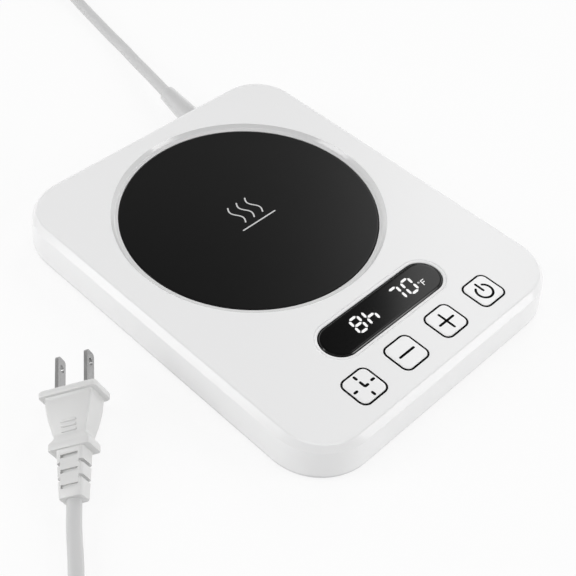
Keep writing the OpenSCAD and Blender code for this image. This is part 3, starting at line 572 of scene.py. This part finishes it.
cup_z, cup_l, cup_steps, plug_crisp = -3.5, 16.6, 14, 35
cup_wide, cup_thin = (10, 6.9), (6.25, 4.6)
levels = [(11.9, 7.15, 0, 1.6), (12.3, 7.55, -0.15, 1.9), (12.5, 7.75, -0.6, 2.0),
          (12.5, 7.75, -2.3, 2.0), (12.35, 7.6, -2.7, 1.9), (12.1, 7.35, -2.85, 1.8),
          (10.25, 6.45, -2.95, 1.1), (10.05, 6.3, -3.2, 1.0)]
levels += [(cup(i / cup_steps, *cup_wide), cup(i / cup_steps, *cup_thin), cup_z - cup_l * i / cup_steps, 1.0)
           for i in range(1, cup_steps + 1)]
levels += [(7.05, 4.75, -20.9, 1.0), (7.5, 5.05, -21.6, 1.1), (8.2, 5.45, -22.4, 1.2),
           (8.7, 5.75, -22.9, 1.4), (8.8, 5.8, -23.3, 1.4), (8.8, 5.8, -25.5, 1.4),
           (8.65, 5.65, -25.9, 1.3), (8.4, 5.4, -26.05, 1.2), (5.95, 4.95, -26.1, 1.5),
           (5.8, 4.8, -26.4, 1.5), (4.95, 4.1, -45.2, 1.5), (4.75, 3.9, -45.8, 1.4), (4.4, 3.6, -plug_l, 1.3)]
bm = bmesh.new()
rings = [ring(bm, rounded(2 * hx, 2 * hy, r, 5), z) for hx, hy, z, r in reversed(levels)]
loft(bm, rings, lids=True)
plug = to_object("plug_moulding", bm, "plug_white", crisp=plug_crisp)
print("plug body of", len(levels), "levels")

# %% [markdown]
# ### Slots in the neck
# The slots break the outline, which stacking can't do, so a boolean cuts them. They lie in turn on the
# broad and on the narrow sides, evenly spaced down the neck.

# %% Neck slots
collar_z, neck_steps, slot_h, slot_deep = -26, 6.4, 1.5, 5.0
broad_out, broad_l, narrow_out, narrow_l = 5.9, 7.2, 6.3, 12
neck_step = (plug_l + collar_z) / neck_steps


def slot_z(steps):
    """Height of a slot's middle, some steps down the neck."""
    return collar_z - neck_step * steps + slot_h / 2


bm = bmesh.new()
gaps = [((0, s * broad_out, slot_z(2 * i + 1.2)), (broad_l, slot_deep, slot_h))
        for i in range(3) for s in (-1, 1)]
gaps += [((s * narrow_out, 0, slot_z(2 * i + 2.2)), (slot_deep, narrow_l, slot_h))
         for i in range(2) for s in (-1, 1)]
for centre, size in gaps:
    made = bmesh.ops.create_cube(bm, size=1)["verts"]
    bmesh.ops.scale(bm, vec=size, verts=made)
    bmesh.ops.translate(bm, vec=centre, verts=made)
cutter = to_object("slot_cutter", bm, "plug_white")
cut = plug.modifiers.new("slots", "BOOLEAN")
cut.operation, cut.object, cut.solver = "DIFFERENCE", cutter, "EXACT"
carved = apply(plug)
bpy.data.objects.remove(cutter)
print("neck with", len(gaps), "slots")

# %% [markdown]
# ### Grip bars
# Three bars to grip stand on either broad face of the cup. Each is a small rounded pad whose foot is sunk
# in the curved face, so its height follows from the cup's own rule.

# %% Grip bars
bar_z, bar_step, bar_l, bar_h, bar_corner = -14.6, 2.0, 6.6, 1.05, 0.5
bar_section = ((0, -0.5), (0, 0.28), (-0.12, 0.42), (-0.35, 0.5))
bm = bmesh.new()
bm.from_mesh(carved)
bmesh.ops.scale(bm, vec=(1 / MM,) * 3, verts=bm.verts)
for i in range(3):
    z = bar_z - bar_step * i
    face_y = cup((cup_z - z) / cup_l, *cup_thin)
    for s in (-1, 1):
        pad = [(grow, s * (face_y + out)) for grow, out in bar_section]
        loft(bm, grown(bm, bar_l, bar_h, bar_corner, pad, 4, (0, z), upright=True), lids=True)
bmesh.ops.recalc_face_normals(bm, faces=bm.faces)
bmesh.ops.transform(bm, matrix=lay_plug, verts=bm.verts)
bm.to_mesh(carved)
bm.free()
carved.transform(Matrix.Scale(MM, 4))
smooth(carved, plug_crisp)
finish_piece(plug, "plug_white", "plug_body")

# %% [markdown]
# ## Tie round the coil
# A soft strap goes once round the far side of the coil. It is a flat band bent into a rounded rectangle, so
# every point of its section, which has broken corners, gives one outline, and a loft joins them.

# %% Tie
low, high = span("cord_tie")
tie_turn = math.atan2(coil_side.y, coil_side.x) + math.pi
tie_w, tie_t, tie_gap, tie_corner, soft = 8.0, 0.8, 0.5, 3.2, 0.2
inner_r = coil_r - coil_half - cord_r - tie_gap
outer_r = coil_out_r + cord_r + tie_gap
middle_r = (inner_r + outer_r) / 2
band_w, band_h = outer_r - inner_r + 2 * tie_t, high.z - low.z
half_w = tie_w / 2
section = [(0, soft - half_w), (-soft, -half_w), (soft - tie_t, -half_w), (-tie_t, soft - half_w)]
section += [(grow, -y) for grow, y in reversed(section)]
bm = bmesh.new()
bands = grown(bm, band_w, band_h, tie_corner, section, 8, (middle_r, (low.z + high.z) / 2), upright=True)
loft(bm, bands + bands[:1])
bmesh.ops.rotate(bm, cent=(0, 0, 0), matrix=Matrix.Rotation(tie_turn, 3, "Z"), verts=bm.verts)
bmesh.ops.translate(bm, vec=(coil_at.x, coil_at.y, 0), verts=bm.verts)
tie = to_object("coil_tie", bm, "tie_black", crisp=45)
finish_piece(tie, "tie_black", "cord_tie")

[p * MM for p in cord_path]
print("cord declared,", round(cord_length * MM, 3), "m")

# %% [markdown]
# ## Top shell
# The moulded shell is the piece that shows most. Its outside is one profile swept round a rounded rectangle:
# the wall, the soft bevel, a narrow facet that catches the light, and the start of the top. The corners of
# the outline close faster than the bevel leans in, so their radius has a rule of its own.

# %% Shell profile
corner, top_corner, wall, top_t = 26.5, 20.5, 2.2, 2.5
bevel_h, bevel_in, bevel_round, wall_lean = 3.0, 2.8, 0.8, 1.2
facet_low, facet_in, facet_round, top_strip = 0.22, 0.38, 0.4, 1.6
lens_c = middle("display_lens")
lens_l, lens_w = lens_high.x - lens_low.x, lens_high.y - lens_low.y
KEYS = ("timer", "minus", "plus", "power")
key_c = [middle(k + "_key") for k in KEYS]


def softened(p, q, r, radius, steps=6):
    """Arc that rounds the corner q between p and r of a profile."""
    p, q, r = (Vector(v) for v in (p, q, r))
    u, v = (p - q).normalized(), (r - q).normalized()
    half = math.acos(max(-1, min(1, u.dot(v)))) / 2
    centre = q + (u + v).normalized() * radius / math.sin(half)
    first, last = q + u * radius / math.tan(half) - centre, q + v * radius / math.tan(half) - centre
    return [tuple(centre + radius * (first * (steps - i) + last * i).normalized()) for i in range(steps + 1)]


rim = wall_lean + bevel_in
foot, low_edge, high_edge = (0, FOOT), (wall_lean, TOP - bevel_h), (rim, TOP)
outside = [(wall, FOOT), (0.25, FOOT), (0.07, FOOT + 0.07), (0.02, FOOT + 0.25), (0.1, FOOT + 1.2)]
slope = bevel_in / bevel_h
facet = [(rim - facet_low, TOP - facet_low / slope), (rim + facet_in, TOP)]
outside += softened(foot, low_edge, high_edge, bevel_round)
outside += softened(low_edge, facet[0], facet[1], facet_round, 3)
outside += softened(facet[0], facet[1], (W, TOP), facet_round, 3)
outside += [(rim + top_strip, TOP)]
shoulder = TOP - bevel_h - top_t * slope


def corner_at(inset):
    """Corner radius of the outline: it closes faster than the inset where the bevel leans in."""
    share = max(0, min(1, (inset - wall_lean) / bevel_in))
    return corner - inset - share * (corner - rim - top_corner)


inside = [(wall, FOOT), (wall, shoulder), (wall + (TOP - top_t - shoulder) * slope, TOP - top_t)]
print("shell", round(W), "x", round(L), "mm, profile of", len(outside), "points")

# %% [markdown]
# ### Openings
# The well of the plate, the window and the keys are openings that go down to ledges and on to the inside.
# The well starts with a ring, a steep wall and a nearly level floor, and a shallow groove runs round the
# window. Each of these is a loft, and two flat faces, the top and its underside, close what lies between.
# A narrow flat strip round every opening keeps the shading of the top dead flat.

# %% Shell mesh
corner_steps, disc_sides, lens_steps, key_steps = 16, 160, 20, 10
bm = bmesh.new()
skin = [ring(bm, rounded(W - 2 * d, L - 2 * d, corner_at(d), corner_steps), z) for d, z in outside]
lining = [skin[0]] + [ring(bm, rounded(W - 2 * d, L - 2 * d, corner - d, corner_steps), z)
                      for d, z in inside[1:]]
loft(bm, skin)
loft(bm, lining[::-1])

gasket_t, ledge_w, ledge_t, strip = 0.5, 4.0, 2.0, 1.0
ring_slope, floor_rise = math.radians(48), 0.25
rim_round, knee_round, foot_round = 0.12, 1.2, 0.3
well_r, ledge_z, knee_z = plate_r + plate_gap, plate_low.z - gasket_t, plate_high.z + floor_rise
ring_rim, ring_foot = (well_r + flare, TOP), (well_r, plate_high.z)
knee = (ring_rim[0] - (TOP - knee_z) / math.tan(ring_slope), knee_z)
well = [(ring_rim[0] + strip, TOP)]
well += softened((W, TOP), ring_rim, knee, rim_round)
well += softened(ring_rim, knee, ring_foot, knee_round)
well += softened(knee, ring_foot, (well_r, ledge_z), foot_round)
well += [(well_r, ledge_z), (plate_r - ledge_w, ledge_z), (plate_r - ledge_w, ledge_z - ledge_t),
         (well_r + wall, ledge_z - ledge_t), (well_r + wall, TOP - top_t)]
holes = [[ring(bm, circle(r, disc_sides, plate_c), z) for r, z in well]]

# Just under half the width, so that no two points of a ring meet
lens_corner = lens_w / 2 - 0.005
lens_edge = [(2.4, TOP), (1.75, TOP), (1.64, TOP - 0.05), (1.54, TOP - 0.3), (1.34, TOP - 0.3),
             (1.24, TOP - 0.06), (0.5, TOP - 0.14), (0.28, TOP - 0.22), (0.15, TOP - 0.38), (0.1, TOP - 0.6),
             (0.1, lens_low.z), (-2, lens_low.z), (-2, TOP - top_t)]
holes.append(grown(bm, lens_l, lens_w, lens_corner, lens_edge, lens_steps, lens_c))

bezel_low, bezel_high = span("key_bezels")
bezel, bezel_corner = bezel_high.y - bezel_low.y, 3.6
key_edge = [(0.6, TOP), (0.1, TOP), (0.03, TOP - 0.03), (0, TOP - 0.1), (0, bezel_low.z),
            (-0.65, bezel_low.z), (-0.65, TOP - top_t)]
holes += [grown(bm, bezel, bezel, bezel_corner, key_edge, key_steps, c) for c in key_c]
for hole in holes:
    loft(bm, hole[::-1])
fill(bm, [skin[-1]] + [hole[0] for hole in holes], True)
fill(bm, [lining[-1]] + [hole[-1] for hole in holes], False)
shell = to_object("housing_shell", bm, "shell_white", crisp=38, recalc=False)
finish_piece(shell, "shell_white", "top_shell")

# %% [markdown]
# ## Screw bosses
# Under the top face stand the bosses that take the screws. They repeat, so Geometry Nodes put one tube, a
# millimetre tall, on every point: the points carry a turn and a stretch, and the tree ends in real geometry.


# %% Repeats with Geometry Nodes
def repeat_tree(name, finish):
    """A tree that puts the shape on every point, turned and stretched by the points' own attributes."""
    tree = bpy.data.node_groups.new(name, "GeometryNodeTree")
    for label, side, kind in (("Points", "INPUT", "Geometry"), ("Shape", "INPUT", "Object"),
                              ("Result", "OUTPUT", "Geometry")):
        tree.interface.new_socket(label, in_out=side, socket_type="NodeSocket" + kind)
    given, result, shape, place, turn, stretch, axis, real, paint = (tree.nodes.new(kind) for kind in (
        "NodeGroupInput", "NodeGroupOutput", "GeometryNodeObjectInfo", "GeometryNodeInstanceOnPoints",
        "GeometryNodeInputNamedAttribute", "GeometryNodeInputNamedAttribute", "ShaderNodeCombineXYZ",
        "GeometryNodeRealizeInstances", "GeometryNodeSetMaterial"))
    turn.data_type, stretch.data_type = "FLOAT", "FLOAT_VECTOR"
    turn.inputs["Name"].default_value, stretch.inputs["Name"].default_value = "turn", "stretch"
    paint.inputs["Material"].default_value = FINISHES[finish]
    for source, out, target, into in (
            (given, "Points", place, "Points"), (given, "Shape", shape, "Object"),
            (shape, "Geometry", place, "Instance"), (turn, "Attribute", axis, "Z"),
            (axis, "Vector", place, "Rotation"), (stretch, "Attribute", place, "Scale"),
            (place, "Instances", real, "Geometry"), (real, "Geometry", paint, "Geometry"),
            (paint, "Geometry", result, "Result")):
        tree.links.new(source.outputs[out], target.inputs[into])
    return tree


def repeat(name, spots, shape, finish, crisp=38):
    """Copies of a shape at spots of (point in mm, turn, stretch), as one plain mesh."""
    mesh = bpy.data.meshes.new(name)
    mesh.from_pydata([Vector(p) * MM for p, _, _ in spots], [], [])
    mesh.attributes.new("turn", "FLOAT", "POINT").data.foreach_set("value", [t for _, t, _ in spots])
    mesh.attributes.new("stretch", "FLOAT_VECTOR", "POINT").data.foreach_set(
        "vector", [v for _, _, s in spots for v in s])
    piece = placed(name, mesh)
    tree = repeat_tree(name + "_tree", finish)
    wired = piece.modifiers.new("repeat", "NODES")
    wired.node_group = tree
    wired[next(item.identifier for item in tree.interface.items_tree if item.name == "Shape")] = shape
    smooth(apply(piece), crisp)
    bpy.data.objects.remove(shape)
    return piece


def turned(name, profile, n, hollow=False):
    """Turned form from points of (radius, height), in millimetres; a hollow one has no lids."""
    bm = bmesh.new()
    rings = [ring(bm, circle(r, n), z) for r, z in profile]
    loft(bm, rings + rings[:1] if hollow else rings, lids=not hollow)
    return to_object(name, bm, "shell_white")


boss_x, boss_y, boss_z, boss_r, boss_bore = 60, 80, 6.2, 3.5, 1.5
bosses = [((sx * boss_x, sy * boss_y, boss_z), 0, (1, 1, TOP - top_t - boss_z))
          for sx in (-1, 1) for sy in (-1, 1)]
tube = turned("boss", [(boss_r, 0), (boss_r, 1), (boss_bore, 1), (boss_bore, 0)], 32, hollow=True)
boss_piece = repeat("case_bosses", bosses, tube, "shell_white")
finish_piece(boss_piece, "shell_white")

# %% [markdown]
# ## Feet
# Four soft feet stand in seats of the base pan. One foot is a turned form with a rounded edge, and a hollow
# and a groove in its sole help it grip. The same tree repeats it.

# %% Feet
foot_low, foot_high = span("rubber_feet")
foot_r = 6.0
foot_profile = [(1.2, 0.25), (1.6, 0), (2.6, 0), (2.9, 0.25), (3.3, 0.25), (3.6, 0), (5.3, 0), (5.75, 0.12),
                (5.95, 0.4), (foot_r, 0.7), (foot_r, foot_high.z)]
foot_form = turned("foot", foot_profile, 48)
foot_spots = [((x, y, 0), 0, (1, 1, 1)) for x in (foot_low.x + foot_r, foot_high.x - foot_r)
              for y in (foot_low.y + foot_r, foot_high.y - foot_r)]
feet = repeat("soft_feet", foot_spots, foot_form, "foot_rubber")
finish_piece(feet, "foot_rubber", "rubber_feet")

# %% [markdown]
# ## Plate
# The plate is a disc of black glass with a ground edge. It is turned from a short profile; the rings on its
# face keep the shading flat.

# %% Plate
bm = bmesh.new()
ground, edge_round, strip = 0.3, 0.5, 1.2
profile = [(plate_r / 2, plate_low.z), (plate_r - ground, plate_low.z), (plate_r, plate_low.z + ground)]
profile += softened((plate_r, plate_low.z), (plate_r, plate_high.z), (0, plate_high.z), edge_round, 5)
profile += [(plate_r - strip, plate_high.z), (plate_r / 2, plate_high.z)]
loft(bm, [ring(bm, circle(r, disc_sides, plate_c), z) for r, z in profile], lids=True)
plate = to_object("glass_plate", bm, "plate_black", crisp=40)
finish_piece(plate, "plate_black", "warming_plate")

# %% [markdown]
# ## Window
# The display window is a smoked bar with round ends. A flat black lip runs round it below the top face, and
# between the lip and the face a ground edge catches the light.

# %% Window
bm = bmesh.new()
lens_top, lip_z = lens_high.z, lens_high.z - 0.36
lens_profile = [(-0.1, lens_low.z), (0, lens_low.z + 0.1), (0, lip_z - 0.06), (-0.05, lip_z), (-0.5, lip_z),
                (-0.54, lip_z + 0.02), (-0.85, lens_top - 0.03), (-0.91, lens_top), (-1.8, lens_top)]
loft(bm, grown(bm, lens_l, lens_w, lens_corner, lens_profile, lens_steps, lens_c), lids=True)
lens = to_object("smoked_window", bm, "lens_black", crisp=40)
finish_piece(lens, "lens_black", "display_lens")

# %% [markdown]
# ## Key caps
# Each cap is a rounded square with a soft top edge. Below the face it widens into the flange that keeps it
# in, and a stem meets the switch. Every cap rides on its own body, so it travels when it is pressed.


# %% Key caps
def key_corner(half):
    """Corner radius at a half width: the stem is round, and the cap's corners grow with its width."""
    return half - 0.01 if half == stem_r else cap_corner + half - cap_half


cap_half, cap_corner, cap_round, strip = 7.0, 2.8, 0.3, 1.0
stem_r, flange_foot, flange_top = 2.5, 0.8, 1.95
for name, c in zip(KEYS, key_c):
    low, high = span(name + "_key")
    flange_half = (high.x - low.x) / 2
    stack = [(stem_r, low.z), (stem_r, low.z + flange_foot), (flange_half, low.z + flange_foot),
             (flange_half, low.z + flange_top), (cap_half, low.z + flange_top),
             (cap_half, high.z - cap_round)]
    stack += [(cap_half - cap_round + cap_round * math.cos(w), high.z - cap_round + cap_round * math.sin(w))
              for w in map(math.radians, (22, 45, 68, 90))]
    stack += [(cap_half - strip, high.z)]
    bm = bmesh.new()
    loft(bm, [ring(bm, rounded(2 * h, 2 * h, key_corner(h), key_steps, c), z) for h, z in stack], lids=True)
    cap = to_object(name + "_cap", bm, "key_white", crisp=38)
    finish_piece(cap, "key_white", name + "_key", body=name + "_key_body")

# %% [markdown]
# ## Key frames
# A black insert frames every key. Its lip lies over the cut edge of the opening and shows as an even black
# line, so it is a ring with a small rounded lip.

# %% Key frames
bm = bmesh.new()
frame_section = [(-0.86, bezel_low.z), (-0.86, TOP + 0.02), (-0.8, TOP + 0.05), (0.04, TOP + 0.05),
                 (0.1, TOP + 0.02), (0.1, TOP - 0.01), (-0.02, TOP - 0.04), (-0.02, bezel_low.z)]
for c in key_c:
    turns = grown(bm, bezel, bezel, bezel_corner, frame_section, key_steps, c)
    loft(bm, turns + turns[:1])
frames = to_object("key_frames", bm, "bezel_black", crisp=50)
finish_piece(frames, "bezel_black", "key_bezels")

# %% [markdown]
# ## Printed marks
# The marks on the keys and on the plate are ink: thin strokes with round ends, a few hundredths of a
# millimetre proud. A stroke is a line of points given a width, so a dash, a cross, a clock hand and an arc
# are all made by one function.


# %% Ink
def ink(name, colour, rough, glow=0.0, level=0.5):
    finish = Finish(name, Emission_Strength=glow, Specular_IOR_Level=level)
    edge = finish.noise(3000, 2)
    if glow:
        finish.feed("Emission Color", finish.shade(edge, 1, 0.92, 1.0))
    finish.surface(finish.shade(edge, colour, 0.94, 1.04), rough + 0.1 * edge)


def stroke(bm, line, width, face_z):
    """Flat stroke with round ends along a line of points on a level face."""
    line = [Vector(p) for p in line]
    ahead = [(q - p).normalized() for p, q in zip(line[:1] + line, line[1:] + line[-1:])]
    across = [Vector((-v.y, v.x)) * width / 2 for v in ahead]

    def round_end(p, heading, start):
        angles = [math.atan2(heading.y, heading.x) + start + math.pi * k / 8 for k in range(1, 8)]
        return [p + Vector((math.cos(w), math.sin(w))) * width / 2 for w in angles]

    outline = [p - side for p, side in zip(line, across)]
    outline += round_end(line[-1], ahead[-1], -math.pi / 2)
    outline += [p + side for p, side in zip(line, across)][::-1]
    outline += round_end(line[0], ahead[0], math.pi / 2)
    rings = [ring(bm, outline, face_z - ink_sunk + h) for h in (0, ink_h)]
    loft(bm, rings)
    fill(bm, rings[1:], True)
    fill(bm, rings[:1], False)


ink_h, ink_sunk = 0.03, 0.005
ink("ink_black", 0.002, 0.5, level=0.05)
ink("ink_pale", 0.62, 0.5)
print("inks ready")

# %% [markdown]
# ### Marks on the keys and the plate
# A clock, a dash, a cross and the sign for power say what the keys do, and three waves over a line say that
# the plate is warm. Each set of strokes rides on the body that it is printed on.

# %% Marks
key_lines = {
    "timer": [[(0, 4.4), (0, 5.6)], [(4.4, 0), (5.6, 0)], [(0, -4.4), (0, -5.6)], [(-4.4, 0), (-5.6, 0)],
              [(0, 2.15), (0, -0.3), (0.01, -0.45), (1.65, -0.45)]],
    "minus": [[(-4.2, -0.3), (4.2, -0.3)]],
    "plus": [[(-4.3, -0.3), (4.3, -0.3)], [(0, 4.0), (0, -4.6)]],
    "power": [[(0, 4.6), (0, 0.1)], arc((0, -0.5), 3.85, 125, 415, 40)],
}
for name, c in zip(KEYS, key_c):
    bm = bmesh.new()
    line_w, key_top = 1.25 if name == "timer" else 1.15, span(name + "_key")[1].z
    for line in key_lines[name]:
        stroke(bm, [(c[0] + x, c[1] + y) for x, y in line], line_w, key_top)
    mark = to_object(name + "_mark", bm, "ink_black", recalc=False)
    finish_piece(mark, "bezel_black", body=name + "_key_body")

wave_gap, wave_swing, wave_l, wave_foot, wave_steps = 5.4, 1.3, 12, -3, 24
base_half, base_y, mark_w = 10, -6.4, 0.7
mark_lines = [[(x + wave_swing * math.sin(2 * math.pi * i / wave_steps), wave_foot + wave_l * i / wave_steps)
               for i in range(wave_steps + 1)] for x in (-wave_gap, 0, wave_gap)]
mark_lines += [[(-base_half, base_y), (base_half, base_y)]]
bm = bmesh.new()
for line in mark_lines:
    stroke(bm, [(plate_c[0] + x, plate_c[1] + y) for x, y in line], mark_w, plate_high.z)
mark = to_object("plate_mark", bm, "ink_pale", recalc=False)
finish_piece(mark, "shell_white")

# %% [markdown]
# ## Digits
# The display shows plain seven-segment figures. One segment is a bar with pointed ends; points with a turn
# say where it repeats, and a slight slant is put in afterwards, as on such displays.

# %% Digits
SEGMENTS = {"a": (0, 1, 0), "b": (0.5, 0.5, 1), "c": (0.5, -0.5, 1), "d": (0, -1, 0), "e": (-0.5, -0.5, 1),
            "f": (-0.5, 0.5, 1), "g": (0, 0, 0)}
digit_w, digit_h, bar_w, bar_half, level_stretch, slant = 4.75, 7.9, 1.25, 1.64, 1.16, 0.14
figures = [(-14.6, "abcdefg"), (-6.9, "fegc"), (10.9, "abc"), (18.6, "abcdef")]
digit_y, digit_z = lens_c[1] + 0.4, lens_top - ink_sunk
spots = []
for x, lit in figures:
    for name in lit:
        sx, sy, upright = SEGMENTS[name]
        spots.append(((x + sx * digit_w, digit_y + sy * digit_h / 2, digit_z), upright * math.pi / 2,
                      (1 if upright else level_stretch, 1, 1)))
bm = bmesh.new()
half, blunt = bar_w / 2, 0.12 * bar_w / 2
outline = [(bar_half - half, -half), (bar_half, -blunt), (bar_half, blunt), (bar_half - half, half)]
outline += [(-x, -y) for x, y in outline]
loft(bm, [ring(bm, outline, z) for z in (0, ink_h)], lids=True)
ink("glow_white", 0.8, 0.5, 0.25)
digits = repeat("display_figures", spots, to_object("segment", bm, "glow_white"), "glow_white")
for v in digits.data.vertices:
    v.co.x += slant * (v.co.y - digit_y * MM)
finish_piece(digits, "shell_white")

unit_x, unit_y, letter_w, degree_w = 24.1, lens_c[1] - 3.5, 0.45, 0.25
unit_lines = [(line, letter_w) for line in (
    [(0, 0), (0.35, 2.6)], [(0.35, 2.6), (2.0, 2.6)], [(0.2, 1.35), (1.5, 1.35)])]
unit_lines += [(arc((-1.0, 2.5), 0.35, 0, 350, 12), degree_w)]
bm = bmesh.new()
for line, line_w in unit_lines:
    stroke(bm, [(unit_x + x, unit_y + y) for x, y in line], line_w, lens_top)
unit = to_object("display_unit", bm, "glow_white", recalc=False)
finish_piece(unit, "shell_white")

# %% [markdown]
# ## The solids that stay
# Everything else is right as the solids have it: the base pan, the screws, the blades, and what sits inside
# the housing. They only need their finishes, which carry the names of the record's material slots.

# %% Finishes for the solids
for part in frame["record"]["subparts"]:
    for holder in frame["nodes"][part["node"]].material_slots:
        holder.material = FINISHES[part["material_slot"]]
print("finishes on", len(frame["nodes"]), "solids")

# %% [markdown]
# ## Floor
# The product stands on plain white. The camera and the reflections see the floor mostly as white paper, and
# a little of the object's own shadow still falls on it.


# %% Floor
def white_floor(name):
    finish = Finish(name, Base_Color=grey(0.93), Roughness=0.9, Specular_IOR_Level=0)
    direct, mirrored, passed = (finish.node("ShaderNodeLightPath", out="Is %s Ray" % kind)
                                for kind in ("Camera", "Glossy", "Transmission"))
    lit = Value(finish, finish.shader.outputs[0])
    paper = finish.node("ShaderNodeEmission", {"Color": grey(1), "Strength": 1})
    seen = finish.node("ShaderNodeMixShader", {0: 0.85 * (direct + mirrored + passed), 1: lit, 2: paper})
    output = next(n for n in finish.tree.nodes if n.type == "OUTPUT_MATERIAL")
    finish.plug(output.inputs["Surface"], seen)


white_floor("floor_white")
floor_half, floor_z = 3000, -0.05
bm = bmesh.new()
bmesh.ops.create_grid(bm, x_segments=1, y_segments=1, size=floor_half)
bmesh.ops.translate(bm, vec=(0, 0, floor_z), verts=bm.verts)
floor = to_object("floor", bm, "floor_white", recalc=False)
print("floor", 2 * floor_half * MM, "m across")

# %% [markdown]
# ## Light and world
# The light is a big soft tent: a white world that is dimmer overhead and where the camera stands. A soft box
# on either side, low enough, makes the bevels the brightest band. A strip above lights the facet at the near
# corner, and a box behind gives the black window its gradient.


# %% Light
def soft_box(name, direction, reach, size, radiance, roll=0.0):
    """Rectangular lamp that faces the origin; its power follows from how bright its face looks."""
    lamp = bpy.data.lights.new(name, "AREA")
    lamp.shape, lamp.size, lamp.size_y = "RECTANGLE", *size
    lamp.energy = radiance * math.pi * size[0] * size[1]
    box = placed(name, lamp)
    box.location = Vector(direction).normalized() * reach
    turn = box.location.to_track_quat("Z", "Y") @ Quaternion((0, 0, 1), math.radians(roll))
    box.rotation_euler = turn.to_euler()
    box.visible_camera = False


# The box behind stands where a level mirror shows it at this pixel, past the right end of the window
mirror_px, half_px = (552, 240), FRAME_PX / 2
glance = (right * (mirror_px[0] - half_px) + up * (half_px - mirror_px[1])) / focal_px - back
soft_box("left_box", (-0.755, 0.452, 0.459), 1.4, (0.5, 0.9), 4.6)
soft_box("right_box", (0.518, -0.751, 0.394), 1.4, (0.5, 0.9), 3.8)
soft_box("top_box", (0.33 * back.x, 0.33 * back.y, 1), 1.5, (1.3, 0.28), 3.4)
soft_box("back_box", (glance.x, glance.y, -glance.z), 1.6, (0.33, 0.9), 4.0, 17)

world = bpy.data.worlds.new("tent")
world.use_nodes = True
bpy.context.scene.world = world
tent = Graph(world.node_tree)
sky = tent.tree.nodes["Background"]
look = tent.node("ShaderNodeTexCoord", out="Generated")


def towards(direction, low, high, at_low, at_high):
    """Level that changes smoothly with how far a ray looks along a direction."""
    along = tent.node("ShaderNodeVectorMath", {0: look, 1: direction}, "Value", operation="DOT_PRODUCT")
    return tent.node("ShaderNodeMapRange", {
        "Value": along, "From Min": low, "From Max": high, "To Min": at_low, "To Max": at_high},
        interpolation_type="SMOOTHSTEP")


to_camera = Vector((back.x, back.y, 0)).normalized()
overhead = towards((0, 0, 1), 0.0, 0.95, 1.16, 0.24)
near_camera = towards(to_camera, -0.1, 0.9, 1.0, 0.66)
tent.plug(sky.inputs["Color"], grey(1))
tent.plug(sky.inputs["Strength"], overhead * near_camera)
bpy.context.scene.view_settings.view_transform = "Standard"
print("four soft boxes and a bright world")

# %% Close
print("scene built")
